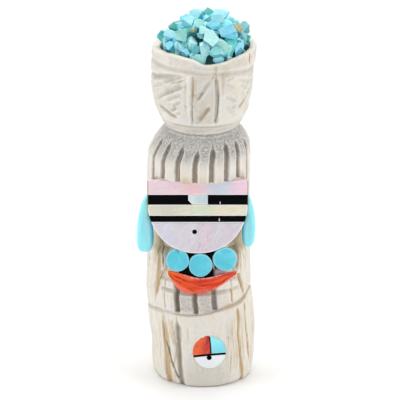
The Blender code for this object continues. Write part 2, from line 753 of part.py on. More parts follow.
def make_sun():
    inner = SUN_BAR_HALF + GAP
    left_edge = SUN_DIVIDER_X - SUN_DIVIDER_HALF - GAP
    right_edge = SUN_DIVIDER_X + SUN_DIVIDER_HALF + GAP
    coral = [(left_edge, bar_height(left_edge, inner))]
    coral += sun_rim(rim_above(left_edge), rim_turn(-1, inner), SUN_ARC_POINTS)
    blue = [(right_edge, bar_height(right_edge, inner))]
    blue += sun_rim(rim_turn(1, inner), rim_above(right_edge), SUN_ARC_POINTS)
    shell = sun_rim(rim_turn(-1, -inner), rim_turn(1, -inner) + 2.0 * math.pi, 2 * SUN_ARC_POINTS)
    end = SUN_HALF_WIDTH * SUN_BAR_SHARE
    bar = [(x, bar_height(x, -SUN_BAR_HALF)) for x in (-end, end)]
    bar += [(x, bar_height(x, SUN_BAR_HALF)) for x in (end, -end)]
    divider = []
    for side, at_top in ((-1, False), (1, False), (1, True), (-1, True)):
        x = SUN_DIVIDER_X + side * SUN_DIVIDER_HALF
        top = SUN_HALF_HEIGHT * math.sin(rim_above(x))
        divider.append((x, top if at_top else bar_height(x, inner)))
    dot = round_outline(*SUN_DOT, SUN_DOT_RADIUS, SUN_DOT_RADIUS, DOT_POINTS)
    room = inset_outline(dot, -GAP)
    rings = [[sun_point(x, y, out) for x, y in room] for out in (-SUN_THICK - GAP, TOOL_REACH)]
    dot_room = cutter(finish(skin(rings), "sun_dot_room", None))
    for name, outline, look, front in (
        ("sun_coral_quarter", coral, "coral", 0.0),
        ("sun_turquoise_quarter", blue, "turquoise", 0.0),
        ("sun_shell_half", shell, "white_shell", 0.0),
        ("sun_bar", bar, "jet", 0.0),
        ("sun_divider", divider, "jet", 0.0),
        ("sun_dot", dot, "jet", DOT_PROUD),
    ):
        made = finish(plate(sun_point, outline, -SUN_THICK, front, SUN_CHAMFER), name, look)
        if name in ("sun_shell_half", "sun_bar"):
            cut(made, dot_room)


# ================================================================ the chips
def heap_height(x, y):
    """Height of the heap over the cup, flat-topped and steep at the sides."""
    share = min(math.hypot(x - HEAP_MIDDLE[0], y - HEAP_MIDDLE[1]) / (CUP_RADIUS - GAP), 1.0)
    return RIM_HEIGHT + HEAP_FOOT + HEAP_HEIGHT * (1.0 - share**HEAP_POWER)


def heap_points(rng):
    """Scattered points over the heap, about a chip's width apart."""
    reach = CUP_RADIUS - GAP - HEAP_MARGIN
    steps = int(reach / HEAP_CHIP) + 1
    points = []
    for row in range(-steps, steps + 1):
        for column in range(-steps, steps + 1):
            x = (column + 0.5 * (row % 2)) * HEAP_CHIP + rng.uniform(-HEAP_SCATTER, HEAP_SCATTER)
            y = row * HEAP_CHIP * HEAP_ROW + rng.uniform(-HEAP_SCATTER, HEAP_SCATTER)
            if math.hypot(x, y) < reach:
                points.append(Vector((HEAP_MIDDLE[0] + x, HEAP_MIDDLE[1] + y)))
    return points


def make_chips():
    """One craggy heap that fills the cup and rises over the rim, a facet for each chip's face."""
    rng = random.Random(HEAP_SEED)
    around = [360.0 * i / HEAP_SPOKES for i in range(HEAP_SPOKES)]
    low_front = RIM_HEIGHT - RIM_DIP
    levels = ((CUP_FLOOR + GAP, CUP_FLOOR_RADIUS - GAP), (CUP_DEPTH_LEVELS[1], None), (low_front, None))
    rings = []
    for height, radius in levels:
        rings.append([cup_point(a, height, radius or cup_radius(height) - GAP) for a in around])
    brim = [cup_point(a, RIM_HEIGHT + HEAP_FOOT, CUP_RADIUS - GAP) for a in around]
    rings.append(brim)
    flat = [Vector((p.x, p.y)) for p in brim] + heap_points(rng)
    edges = [(i, (i + 1) % HEAP_SPOKES) for i in range(HEAP_SPOKES)]
    places, _, faces, *_ = delaunay_2d_cdt(flat, edges, [], 1, SPOKE_JOIN)
    bm = skin(rings)
    bm.faces.ensure_lookup_table()
    bmesh.ops.delete(bm, geom=[bm.faces[-1]], context="FACES_ONLY")
    bm.verts.ensure_lookup_table()
    top = bm.verts[-HEAP_SPOKES:]
    for place in places[HEAP_SPOKES:]:
        height = heap_height(place.x, place.y) + rng.uniform(-HEAP_ROUGHNESS, HEAP_ROUGHNESS)
        top.append(bm.verts.new((place.x, place.y, height)))
    for face in faces:
        bm.faces.new([top[i] for i in face])
    finish(bm, "turquoise_chips", "chip_turquoise")


def main():
    for old in list(bpy.data.objects):
        bpy.data.objects.remove(old, do_unlink=True)
    make_antler()
    make_face()
    make_earrings()
    make_crescent()
    make_necklace()
    make_sun()
    make_chips()


main()
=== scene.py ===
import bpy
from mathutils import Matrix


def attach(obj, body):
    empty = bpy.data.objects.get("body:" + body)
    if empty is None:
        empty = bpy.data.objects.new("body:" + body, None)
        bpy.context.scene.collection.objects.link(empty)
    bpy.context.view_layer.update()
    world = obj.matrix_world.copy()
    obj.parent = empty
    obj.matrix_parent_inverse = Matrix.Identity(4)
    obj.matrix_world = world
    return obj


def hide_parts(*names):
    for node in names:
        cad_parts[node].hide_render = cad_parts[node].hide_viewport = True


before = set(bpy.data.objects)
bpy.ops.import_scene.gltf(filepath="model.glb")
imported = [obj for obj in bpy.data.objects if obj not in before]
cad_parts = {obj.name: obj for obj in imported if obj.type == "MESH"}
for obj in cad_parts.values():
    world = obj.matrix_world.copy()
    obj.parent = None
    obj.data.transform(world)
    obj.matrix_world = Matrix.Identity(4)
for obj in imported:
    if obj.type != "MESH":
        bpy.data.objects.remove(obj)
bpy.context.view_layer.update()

"""A small maiden carved from one length of antler, built round her measured parts.

She carries a jar of turquoise chips on her head. Her face, necklace, earrings and the sun on
her skirt are inlaid shell, jet, coral and turquoise. Lengths are millimetres until a mesh is
made. Angles run round the antler from the front, positive towards +X.
"""
import math
from itertools import product

import bmesh
import bpy
import numpy as np
from bpy.props import FloatProperty, FloatVectorProperty, IntProperty, PointerProperty
from mathutils import Matrix, Vector

bl_info = {
    "name": "Antler maiden",
    "version": (1, 0, 0),
    "blender": (4, 5, 0),
    "location": "3D View > Sidebar > Maiden",
    "description": "A carved antler maiden with inlaid face, necklace and sun, and a jar of chips",
    "category": "Object",
}

MM = 0.001
ROOT = "root"
# The layers painted on the antler: the first holds dirt and painted shade, the last rubbed ridges with a
# painted highlight.
MASKS = ("soil", "raw", "grey", "marrow", "fibre", "worn")

# ---------------------------------------------------------------- the antler's own shape
# height, half width, middle along +X
PROFILE = (
    (0, 12, 0.75), (0.15, 12.35, 0.75), (0.5, 12.75, 0.78), (1.4, 13.05, 0.8), (4.5, 13.45, 0.8),
    (9, 13.65, 0.8), (15, 13.95, 0.4), (21.5, 13.85, -0.15), (25, 13.8, -0.4), (35.5, 13.55, -0.4),
    (60, 13.45, -0.25), (62, 13.42, -0.22), (63.5, 13.15, 0), (65, 12.6, 0.3), (66.5, 11.8, 0.45),
    (68, 10.75, 0.5), (69.6, 9.5, 0.5), (71, 10.3, 0.55), (72.4, 11.05, 0.62), (74.5, 12, 0.68),
    (76.5, 12.6, 0.66), (79.5, 13.2, 0.68), (83, 13.45, 0.74), (87, 13.55, 0.85), (92, 13.45, 1.2),
)
DEPTH = 0.97
BELT = ((-180, 21.2), (-150, 20), (-110, 19.2), (-79, 19.5), (-63, 20.1), (-45, 20.7), (-31, 20.9),
        (-16, 21), (-2, 21.2), (9, 21.6), (20, 22.1), (33, 22.5), (46, 22.7), (59, 23.3),
        (67.5, 24), (77, 24.6), (110, 24.4), (150, 22.9), (180, 21.2))
BAND = ((-180, 87.4), (-110, 87.9), (-54, 87.9), (-19, 87.7), (3, 87.2), (33, 86.9), (75, 86),
        (120, 86.3), (180, 87.4))
RIM = ((-180, 91.3), (-90, 90.9), (-42, 91.5), (-17, 91), (2, 89.6), (22, 90), (48, 90.9),
       (77, 91.2), (130, 91.5), (180, 91.3))
GROOVES = (-177, -158, -139, -120.5, -101.5, -82.5, -63.5, -45, -24.8, -4.5, 14.3, 31.9, 49.6, 69,
           88, 107, 126, 145, 164)
GROOVE_TOPS = ((-180, 67.3), (-60, 67.6), (-37, 67.5), (-21, 67.1), (-8, 66.3), (5, 66.8), (19, 67.5),
               (32, 68.1), (51, 67.9), (100, 67.4), (180, 67.3))
SHAWL_LEFT = ((20, -61), (22.1, -59.5), (25.3, -55), (29.4, -50), (32.2, -46), (33.8, -41.5),
              (37.4, -43), (39.6, -51))
SHAWL_RIGHT = ((20, 64), (24.1, 62), (25.1, 58), (28.3, 53), (30.7, 47.4), (32.9, 47.6),
               (35.8, 49.5), (38.7, 52))
SHOULDER_LOW, SHOULDER_TOP = 36.6, 38.8
HAIR_EDGE, HAIR_DROP = 57.5, 12.5
HAIR_DROP_FROM, HAIR_DROP_FULL = 56.0, 84.0
NECK_INSET = 1.15
SPLIT = 26.95
CUP_MIDDLE, CUP_RADIUS = 1.3, 11.5
CUP_FLOOR, CUP_FLOOR_RADIUS = 82.5, 9.6

# ---------------------------------------------------------------- the face plate's frame
LEAN = math.radians(7.0)
PLATE_TOP = Vector((0.0, -10.4, 57.4))
PLATE_OUT = Vector((0.0, -math.cos(LEAN), math.sin(LEAN)))
PLATE_DOWN = Vector((0.0, -math.sin(LEAN), -math.cos(LEAN)))
PLATE_THICK = 2.0
PLATE_MIDDLE = -0.57
PLATE_HALF = 13.05
CHIN_FROM, CHIN_DROP, CHIN_ROUNDNESS = 4.8, 14.54, 2.15
JOINTS = (0.0, 3.72, 6.25, 9.3, 10.85)
NOSE_LEFT, NOSE_RIGHT, NOSE_CUT = -3.1, 2.05, 1.05
MOUTH, MOUTH_RADIUS = (-1.4, 13.5), 0.63
SEAM = 0.035
END_WIDTH = 0.42
# chips out of the jet bars: x, height, half their own height
FLECKS = ((5.2, 51.55, 0.75), (5.0, 47.2, 0.8))

DISCS = {"left": (-5.83, 21.22, 3.0), "middle": (0.12, 22.55, 3.06), "right": (6.52, 20.92, 3.1)}
CORAL_TIPS, CORAL_LOWEST = (-8.3, 9.5), -0.6
CORAL_TOP, CORAL_SAG, CORAL_DEPTH, CORAL_END = 24.1, 1.9, 5.6, 0.85
CORAL_POWERS = (3.4, 1.8)

SUN_ANGLE, SUN_HEIGHT = 7.6, 10.5
SUN_WIDE, SUN_TALL = 4.4, 4.62
SUN_BAR_DROP, SUN_BAR_SLOPE, SUN_BAR_HALF, SUN_BAR_BOW = 0.7, 0.04, 0.26, 0.36
SUN_DIVIDER, SUN_DIVIDER_HALF = 0.3, 0.14
SUN_DOT, SUN_DOT_RADIUS = (-0.22, -1.5), 0.66

# ---------------------------------------------------------------- the knife work on the antler
# A cut is its path as angle, height, angle, height and so on, then its width and depth, how much dirt
# and painted shade lies along it, how raw it is, the share of its length over which each end fades, how far
# its deepest line leans to one side, and how flat its floor is. A patch is a layer and its strength, the
# angles and heights between which it lies, and how soft its sides and its ends are.
FADE = (0.25, 0.25)
MEAN_RADIUS = 13.0  # for lengths along a cut
JAR_SCRAPES = 320
SEAT_DEPTH = 0.7  # of the hollow that the sun is set in
FIBRE_TOP = 56.0  # the lengthwise grain shows below this height
EDGE_STEP = 1e-3  # what lies this far under the hair's edge is below it
# the columns of the grid: steps away from each groove's middle, finer in front
GRID_RADIUS, GRID_FRONT = 13.4, (-102, 107)
FRONT_STEPS = (0.0, 0.22, 0.42, 0.52, 0.62, 0.76, 1.0, 1.27, 1.55, 1.85)
BACK_STEPS = (0.0, 0.35, 0.6, 0.8, 1.25, 1.75)
JAR_SIDES = ((0, 1.0), (121, 0.8), (-121, 0.8))  # the middle of each panel, and how strongly it is cut
PANEL_PATCHES = (
    ("cut", 0.28, -11.5, 16.5, 73.2, 86.6),
    ("cut", 0.35, -62, -20, 75, 86.4, 2.5, 1),
    ("soil", 0.3, -11.5, 16.5, 73.2, 86.6),
    ("raw", 0.5, 19.5, 24, 81, 87.5, 1, 1),
    ("raw", 0.4, -11, -7, 76, 86.5, 1.5, 2),
    ("raw", 0.5, 10, 15.5, 85, 91, 2, 1.5),
)
PANEL_CUTS = (
    ((-11.6, 87, -12.4, 80, -13.2, 72.6), 1.5, 0.5, 0.3, 0, (0.05, 0.05), -0.4),
    ((-11, 86.6, -11.7, 80, -12.6, 72.9), 0.5, 0.25, 0.75, 0, (0.4, 0.1)),
    ((-19.3, 86.8, -19.8, 79, -18.6, 73.4), 1.3, 0.3, 0.28),
    ((14.8, 86.7, 16.8, 80, 17.2, 73), 1.9, 0.7, 0.42, 0, (0.12, 0.06), 0, 0.2),
    ((17, 85.4, 18.4, 80, 18.6, 76.5, 17, 72.9), 0.55, 0.3, 0.9, 0, (0.3, 0.1)),
    ((10.9, 86.2, -6.6, 79.9), 2.7, 0.7, 0.4, 0, (0.3, 0.1), -0.3),
    ((2, 82.6, -6.3, 79.9), 1, 0.3, 0.62),
    ((11, 78.8, -6.4, 73.2), 2.1, 0.6, 0.5, 0.55, FADE, -0.3),
)
LEAF_CUTS = (
    ((-20, 86.5, -53, 83.3), 3, 0.78, 0.312, 0.2),
    ((-18.8, 83.9, -54.3, 79.6), 2.6, 0.78, 0.36, 0.3),
    ((-21.5, 85.2, -42, 83.4), 1, 0.39, 0.36, 0.4),
    ((-23, 81.4, -50, 78.2), 2, 0.52, 0.288),
    ((-31, 77.4, -43, 75.7), 1.5, 0.585, 0.48),
    ((-25, 79.3, -40, 77), 1.5, 0.455, 0.36),
    ((-26, 76.3, -36, 74.9), 1.2, 0.39, 0.3),
    ((-46, 80.7, -66, 78), 1.9, 0.52, 0.3, 0.2),
    ((-50, 83, -72, 81), 1.6, 0.39, 0.24, 0.1),
)
LEAF_LEAN = -0.5
JAR_CUTS = (
    ((-20, 86.7, -45, 85.6, -73, 84, -104, 83.6), 2.6, 0.72, 0.46, 0, (0.3, 0.2), 0.2),
    ((-29, 74, -46.5, 75.2, -68, 76.9), 1.7, 0.5, 0.5, 0.4),
    ((35.7, 85.1, 79, 82.2), 2, 0.3, 0.22),
    ((24, 81.1, 42.4, 78.8), 1.7, 0.34, 0.32),
    ((62, 79.9, 44.7, 76.3), 1.6, 0.4, 0.3, 0.6),
    ((44, 83.6, 66, 80.8), 1.9, 0.3, 0.24),
    ((26, 78, 46, 74.6), 1.8, 0.3, 0.22),
    ((25, 84.4, 38, 82.6), 1.5, 0.25, 0.26),
    ((52, 77.6, 70, 81.5), 1.2, 0.25, 0.2, 0.4),
    ((60, 91, 59, 88.2), 0.5, 0.16, 0.45, 0.7),
)
JAR_PATCHES = (("raw", 0.3, -52, -24, 86.9, 87.6, 6, 0.5), ("grey", 0.42, -80, -22, 74, 86.5, 8, 3))
JAR_STAINS = (
    ((13.2, 90.2, 14.2, 87, 15.8, 81), 0.6, 0.06, 0.08, 0.65, (0.1, 0.5)),
    ((-10.4, 86.4, -10.9, 82, -11.6, 78), 0.8, 0.06, 0.1, 0.9, (0.2, 0.5)),
    ((61.5, 91.2, 60.5, 88.6, 61, 87.2), 0.45, 0.2, 0.7, 0.8),
)
SHAWL_CRACKS = (
    ((64, 41.5, 67, 39.2, 65.2, 37, 68.4, 34.6, 67.2, 32), 0.5, 0.22, 0.4, 0.8, (0.3, 0.4)),
    ((58.5, 37.4, 60.6, 35, 59.6, 32.6), 0.5, 0.22, 0.4, 0.8, (0.3, 0.4)),
    ((-72, 36, -70, 32.4, -73, 29.6), 0.5, 0.22, 0.4, 0.8, (0.3, 0.4)),
)
DRESS_CUTS = (
    ((-53, 42, -47, 38.6, -43.6, 36.6, -42.4, 33.8, -45, 32.2), 0.8, 0.4, 0.95, 1, FADE, -0.3),
    ((-58, 44, -56, 41, -51, 37, -49.5, 33, -52.5, 28.6, -58.5, 22.6), 1.9, 0.35, 0.2, 1, (0.1, 0.2)),
    ((-57, 42.5, -53.5, 38.4, -51.2, 33.6, -54.4, 28.4), 0.4, 0.18, 0.75, 0.6, (0.3, 0.3)),
    ((-44.5, 32.4, -49, 29.6, -54.5, 25.4, -60, 21.2), 1.3, 0.45, 0.38, 0.6, (0.1, 0.4), -0.3),
    ((-46, 31.8, -50.4, 28.6, -57, 23.8), 0.45, 0.2, 0.8, 0.3, (0.2, 0.5)),
    ((-47, 38.6, -47.5, 33, -52, 29), 0.5, 0.25, 0.6, 0.8),
    ((-44, 31, -51, 26.5), 0.5, 0.2, 0.35, 0.4),
    ((52, 41, 49.5, 35.8, 47.8, 32.9, 47.6, 30.7), 1.3, 0.45, 0.55, 0.8, FADE, 0.3),
    ((53.5, 38.4, 55, 34, 53, 30.5), 0.6, 0.22, 0.3, 0.7),
    ((-75, 26.2, -62.4, 25.2), 0.7, 0.28, 0.35),
    ((-79, 28.8, -66, 26.6), 0.6, 0.22, 0.3),
    ((80, 25.4, 64.8, 24.2), 0.7, 0.28, 0.35),
    ((86, 28.4, 70, 25.6), 0.8, 0.25, 0.35),
    ((64, 36.5, 66, 30), 0.7, 0.2, 0.25, 0.5),
)
DRESS_PATCHES = (
    ("grey", 0.42, -54, -34, 36, 50, 4, 1.5),
    ("grey", 0.2, 38, 56, 36, 50, 4, 1.5),
    ("raw", 0.8, 38.6, 42.2, 23.5, 27, 0.8, 0.5),
    ("raw", 0.55, -33, -31, 22, 26, 1, 0.5),
    ("grey", 0.62, -27, 24, 21.6, 29.5, 4, 0.5),
    ("soil", 0.13, -34, 44, 21.6, 29.5, 6, 0.5),
)
# between the belt's blocks: angle, top, foot, width, depth, dirt and painted shade, lean
UPRIGHTS = (
    (-41.4, 29.8, 27.4, 0.6, 0.35, 0.55, 0),
    (-42, 26.4, 21.4, 0.7, 0.35, 0.45, 0),
    (-24.6, 29.8, 21, 2, 1.05, 0.95, -0.3),
    (-3.2, 28.4, 21, 1.9, 0.9, 0.85, -0.3),
    (18.8, 29.4, 21.9, 2.1, 0.9, 0.72, -0.3),
    (40.4, 31.6, 23.2, 0.9, 0.4, 0.35, 0),
)
BELT_CUTS = (
    ((-25.6, 29, -25.2, 22.6), 0.7, 0.12, 0.98, 0, (0.2, 0.5)),
    ((-4.4, 26.6, -4, 22.6), 0.7, 0.12, 0.75, 0, (0.2, 0.5)),
    ((17.6, 28.6, 18, 23.4), 0.7, 0.12, 0.75, 0, (0.2, 0.5)),
    ((47.6, 31.4, 50, 29.8, 53.5, 28, 58, 25.3, 61.5, 24), 1.25, 0.55, 0.34, 1, (0.1, 0.2), 0.4),
    ((48.2, 30.6, 52.4, 28.2, 57, 25.4), 0.4, 0.2, 0.8, 0, (0.3, 0.3)),
    ((-32, 28.8, -32.6, 27.8), 0.4, 0.2, 0.3),
    ((-2.6, 24.3, 0.8, 22.4), 1.1, 0.6, 0.3),
)
BELT_HATCHED = (-36, -18, -10, 4, 12, 26, 31)  # the angles and heights at which the blocks are scratched
BELT_HATCHES = (22.6, 24.1, 25.3, 28.1)
SKIRT_CUTS = (
    ((-45, 21.4, -46.6, 16, -47.4, 11, -46.6, 6, -45.4, -0.2), 1.9, 0.5, 0.22, 0.9, (0.3, 0), 0.5),
    ((-46.6, 18, -46.2, 13, -45.2, 11.6, -42.8, 9.4, -38, 5.8, -32, 2.9, -27.6, 0.8), 0.95, 0.35, 1, 0.5,
     (0.5, 0.1)),
    ((-26.2, 20.6, -28.2, 15, -29.4, 10.5, -28.6, 6, -26.6, -0.2), 2.5, 0.7, 0.72, 0, (0.2, 0), 0.3, 0.2),
    ((-24.8, 19, -26.8, 14, -27.8, 9, -26.6, 3), 0.5, 0.15, 0.7, 0, (0.4, 0.4)),
    ((-30.6, 18.6, -32.6, 12, -33, 6), 0.8, 0.25, 0.5, 0, (0.3, 0.3)),
    ((-33.2, 20, -34.6, 13, -36, 9.4), 1, 0.22, 0.2, 0.6, (0.2, 0.3)),
    ((-36.5, 20.2, -37.5, 12), 1.4, 0.2, 0.05, 0.35),
    ((-22.5, 18.5, -24, 12), 0.8, 0.15, 0.2, 0.5),
    ((45.6, 22.4, 46.2, 19, 43.2, 14, 45.6, 9.6, 48.6, 5.6, 54, -0.2), 1.3, 0.42, 0.1, 1, (0.1, 0)),
    ((44.6, 21.4, 45, 18.4, 42.4, 14, 44.8, 8.8, 48.4, 4), 0.42, 0.16, 0.5, 1, (0.15, 0.3)),
    ((58.6, 23.2, 57.2, 18, 57, 14.3, 60.5, 9, 66, 4), 1.2, 0.42, 0.12, 1, (0.12, 0.2)),
    ((57.6, 21, 56.6, 14.5, 59.6, 9.5, 63.5, 6), 0.42, 0.16, 0.5, 1, (0.2, 0.3)),
    ((36.8, 21.8, 35.2, 14, 36.5, 8, 38.5, 2), 0.7, 0.16, 0.08, 0.45),
    ((51, 22.4, 49.6, 13, 53.5, 3), 0.6, 0.16, 0.08, 0.45),
)
SKIRT_CHIPS = ((-86, 9, 1.9, 0.8), (-82, 23.4, 1.3, 0.7), (-118, 3.2, 1.4, 1.9), (97, 1.4, 2.2, 1.3))
RIM_ROUNDING = ((0.1, 0.16), (0.3, 0.0), (0.6, 0.02), (0.85, 0.06), (0.97, 0.22))  # share across, drop
UNDERSIDE = (0.12, 0.3, 0.5, 0.7, 0.88)  # rings as shares of the foot's outline
UNDERSIDE_LOOK = {"marrow": (1.0, 1.0, 0.8, 0.25, 0.0), "raw": (0.3, 0.3, 0.3, 0.4, 0.3)}
CUP_LOOK = {"raw": 0.25, "grey": 0.2}

# ---------------------------------------------------------------- the drops, the beads and the chips
EARRINGS = {  # drop down the plate, outer edge and inner edge
    "left": ((2.6, -13, -12.5), (4, -13.55, -12.7), (5, -14.35, -12.8), (6.1, -14.95, -12.8),
             (7.5, -15.42, -12.75), (9.4, -15.85, -12.6), (11.4, -16.18, -12.4), (13.3, -16.4, -12.15),
             (15.2, -16.5, -12), (17.1, -16.45, -12.08), (18.4, -16.2, -12.4), (19.1, -15.92, -12.75),
             (19.45, -15.6, -13.2), (19.6, -15.2, -13.7)),
    "right": ((2.6, 12.3, 11.7), (4.3, 12.75, 11.75), (5.5, 13.25, 11.7), (6.5, 13.58, 11.6),
              (7.5, 13.86, 11.5), (9.4, 14.18, 11.3), (11.3, 14.34, 11.1), (13.3, 14.4, 10.92),
              (15.2, 14.34, 10.88), (16.6, 14.15, 11), (17.5, 13.85, 11.3), (18.05, 13.4, 11.75),
              (18.3, 13, 12.2)),
}
# a full drop's width and half thickness, and how far its middle is behind the plate's face
EARRING_WIDE, EARRING_HALF, EARRING_BACK = 4.5, 1.15, -3.3
# The last number of each row is the painted highlight on the bead's rounded rim.
BEAD_DOME = ((1.0, -0.8, 1.0), (1.0, -0.2, 1.0), (0.98, -0.06, 1.0), (0.93, 0.02, 0.8), (0.87, 0.06, 0.0),
             (0.7, 0.1, 0.0), (0.4, 0.12, 0.0), (0.12, 0.13, 0.0))  # share of the radius, height, rim
HEAP_PEAK = (4.5, -3.0)
HEAP_LOW, HEAP_RISE, HEAP_POWER = 90.6, 8.9, 3.0
RIM_CLEAR = 91.8  # a chip that is wholly over this height is clear of the jar
CHIP_GRAIN = 0.75  # a chip's edges are divided until they are shorter than about this
CHIP_SHIFT = 0.3
# The last of these: painted shade on chips that lie deep in the heap and on the core underneath, and chips
# that are darker.
CHIP_MASKS = ("tone", "chalk", "brown", "deep")
# Per face: a painted light that makes upward faces lighter and downward ones darker, and a painted highlight
# on the bevelled edges.
CHIP_FACE_MASKS = ("facet", "rim")
CORE_SIDES, CORE_FLOOR = 64, 9.0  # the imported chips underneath: corners, and radius at the cup's floor
# the chips that show in front: x, y, lift off the heap, half width, half height, green, chalky, brown, dark
SHOWN = (
    (-5.1, -8.1, -0.2, 2.1, 1.4, 0, 0.45, 0, 0), (-6.9, -4.4, 0.6, 1.9, 1.2, 0, 0.2, 0, 0),
    (-8.8, -3.4, 0.4, 1.5, 1.3, 0.6, 0.6, 0, 0), (-7, -6.5, 0.4, 1, 1.1, 0.05, 0.2, 0, 0),
    (-6.2, -1.6, 0.3, 1.2, 1.2, 1, 0, 0, 0.45), (-8.9, -1.4, 0.9, 1.3, 1.3, 0.8, 0.1, 0, 0.2),
    (-3.8, -6.9, 0.2, 1.7, 2.3, 0.9, 0.6, 0, 0), (-2.6, -3.7, 0.2, 1.4, 1.6, 0.35, 0.1, 0, 0.1),
    (-3.2, -1, 0.2, 1.3, 1.2, 0.1, 0.1, 0, 0), (-0.8, -0.2, 0.2, 1.8, 1.5, 0.45, 0, 0, 0.1),
    (2.3, 1.4, 0.1, 1.4, 1.1, 0.9, 0.2, 0, 0.15), (5.2, -0.6, -0.1, 2.6, 1.4, 0.1, 0.25, 0, 0),
    (3.2, -6.6, 0.3, 1.9, 1.5, 0.2, 0.1, 0, 0), (-0.2, -6, 0.2, 1.2, 1.3, 0.8, 0.6, 0, 0),
    (6.4, -7.4, 0.3, 2.3, 1.8, 0, 0.1, 0, 0), (8.9, -4.8, 0.1, 1.2, 1.1, 0.5, 0, 1, 0),
    (10.5, -1.6, 0.1, 1.6, 1.6, 0.55, 0, 0, 0.25), (11.4, -2.6, 0, 0.9, 1.2, 0.95, 0, 0, 0.3),
    (9.9, -6.2, 0.2, 1.8, 2.3, 0.05, 0.15, 0, 0), (2, -9.4, 0.4, 2.1, 1.9, 0.65, 0.95, 0, 0),
    (3.4, -10.4, 0, 2.1, 1.4, 0.6, 0.3, 0, 0), (7, -9, 0, 1.4, 1.5, 0.9, 0.15, 0, 0),
    (-0.6, -10.7, -0.2, 2.3, 1.8, 0.6, 0.5, 0, 0), (4.9, -10.8, -0.4, 1.5, 1.2, 0.05, 0.2, 0, 0),
    (7.9, -9.3, -0.7, 1.4, 1.1, 0.4, 0.2, 0, 0), (-1.7, -7.3, 0.2, 0.6, 0.5, 0.5, 0.2, 1, 0),
    (-3, -9.9, 0.1, 1.1, 1, 0, 0.1, 0, 0),
)


def paint(red, green, blue):
    """A colour as it is mixed, from the way it looks on a screen, 0 to 255."""
    shares = [c / 255.0 for c in (red, green, blue)]
    return tuple(c / 12.92 if c <= 0.04045 else ((c + 0.055) / 1.055) ** 2.4 for c in shares)


def colour(name, description, *rgb):
    return FloatVectorProperty(name=name, description=description, subtype="COLOR", size=3,
                               min=0.0, max=1.0, default=paint(*rgb))


# ================================================================ what a user may change
class AntlerSettings(bpy.types.PropertyGroup):
    relief: FloatProperty(name="Relief", description="Depth of the knife work, 1 as carved", default=1.0,
                          min=0.0, max=2.0, subtype="FACTOR")
    weathering: FloatProperty(name="Weathering", description="Depth of the scrapes and ridges in the surface",
                              default=1.0, min=0.0, max=2.0, subtype="FACTOR")
    pale: colour("Bleached", "The bleached antler", 238, 235, 228)
    cream: colour("Cream", "Warmer streaks in the antler", 236, 222, 195)
    tan: colour("Tan", "Raw antler that shows at edges and cracks", 203, 176, 134)
    # This colour also paints the shade in the hollows, recesses and cut floors, as well as the dirt in the
    # cuts.
    soil: colour("Soil", "Old dirt in the cuts", 120, 108, 95)
    grey: colour("Grey", "The open, weathered pores of the crown", 178, 176, 173)
    seed: IntProperty(name="Seed", description="Changes the scrapes", default=7)


class InlaySettings(bpy.types.PropertyGroup):
    bevel: FloatProperty(name="Bevel", description="Width of the ground edge of the plates",
                         default=0.17 * MM, min=0.0, unit="LENGTH")
    pink: colour("Pink shell", "Mother-of-pearl of the forehead", 244, 216, 224)
    lilac: colour("Lilac shell", "Mother-of-pearl of the chin", 214, 209, 219)
    gold: colour("Gold shell", "Gold-lip shell of the cheek band", 224, 222, 199)
    white: colour("White shell", "White mother-of-pearl", 245, 248, 252)
    glass: colour("Blue-white shell", "Blue-white mother-of-pearl of the nose", 208, 228, 231)
    jet: colour("Jet", "Polished jet", 5, 6, 8)
    turquoise: colour("Turquoise", "Blue turquoise of the beads", 84, 206, 228)
    sky: colour("Sky turquoise", "Paler turquoise of the earrings and the sun", 154, 246, 255)
    coral: colour("Coral", "Orange-red coral", 230, 66, 36)


class ChipSettings(bpy.types.PropertyGroup):
    size: FloatProperty(name="Chip size", description="Usual width of a chip", default=3.5 * MM,
                        min=1.0 * MM, max=6.0 * MM, unit="LENGTH")
    count: IntProperty(name="Chips", description="How many chips fill the jar", default=190, min=10, max=400)
    blue: colour("Blue chips", "Sky blue turquoise", 104, 218, 255)
    green: colour("Green chips", "Green turquoise", 88, 222, 200)
    chalk: colour("Chalky chips", "Pale soft turquoise", 200, 242, 234)
    matrix: colour("Matrix", "Brown host rock in some chips", 178, 140, 84)
    seed: IntProperty(name="Seed", description="Changes how the chips fell", default=23)


class StageSettings(bpy.types.PropertyGroup):
    floor: colour("Floor", "Plain pale floor", 250, 250, 250)
    elevation: FloatProperty(name="Elevation", description="Height of the camera above the floor's level",
                             default=math.radians(21.0), unit="ROTATION")
    distance: FloatProperty(name="Distance", description="From the camera to the carving", default=0.9,
                            unit="LENGTH")
    lens: FloatProperty(name="Lens", description="Focal length in millimetres", default=309.42)
    daylight: FloatProperty(name="Daylight", description="Strength of the even light all round", default=0.27)
    boxes: FloatProperty(name="Side boxes", description="Power of each side soft box in watts", default=1.65)
    top: FloatProperty(name="Top box", description="Power of the soft box overhead in watts", default=6.4)
    front: FloatProperty(name="Front box", description="Power of the front soft box in watts", default=0.35)


# ================================================================ small sums
def blend(low, high, value):
    """0 below low, 1 above high and a smooth rise between them."""
    t = np.clip((value - low) / (high - low), 0.0, 1.0)
    return t * t * (3.0 - 2.0 * t)


def mix(a, b, share):
    return a + (b - a) * share


def eased(table, at):
    """Reads a table of (place, value) pairs along a smooth curve that doesn't overshoot."""
    x, y = np.array([row[0] for row in table], float), np.array([row[1] for row in table], float)
    step = np.diff(x)
    rise = np.diff(y) / step
    slope = np.zeros(len(x))
    slope[0], slope[-1] = rise[0], rise[-1]
    same = rise[:-1] * rise[1:] > 0
    slope[1:-1][same] = 2.0 * rise[:-1][same] * rise[1:][same] / (rise[:-1][same] + rise[1:][same])
    at = np.clip(np.asarray(at, float), x[0], x[-1])
    i = np.clip(np.searchsorted(x, at) - 1, 0, len(step) - 1)
    t = (at - x[i]) / step[i]
    near, far = (1 + 2 * t) * (1 - t) ** 2, t * t * (3 - 2 * t)
    curve = step[i] * (t * (1 - t) ** 2 * slope[i] - t * t * (1 - t) * slope[i + 1])
    return near * y[i] + far * y[i + 1] + curve


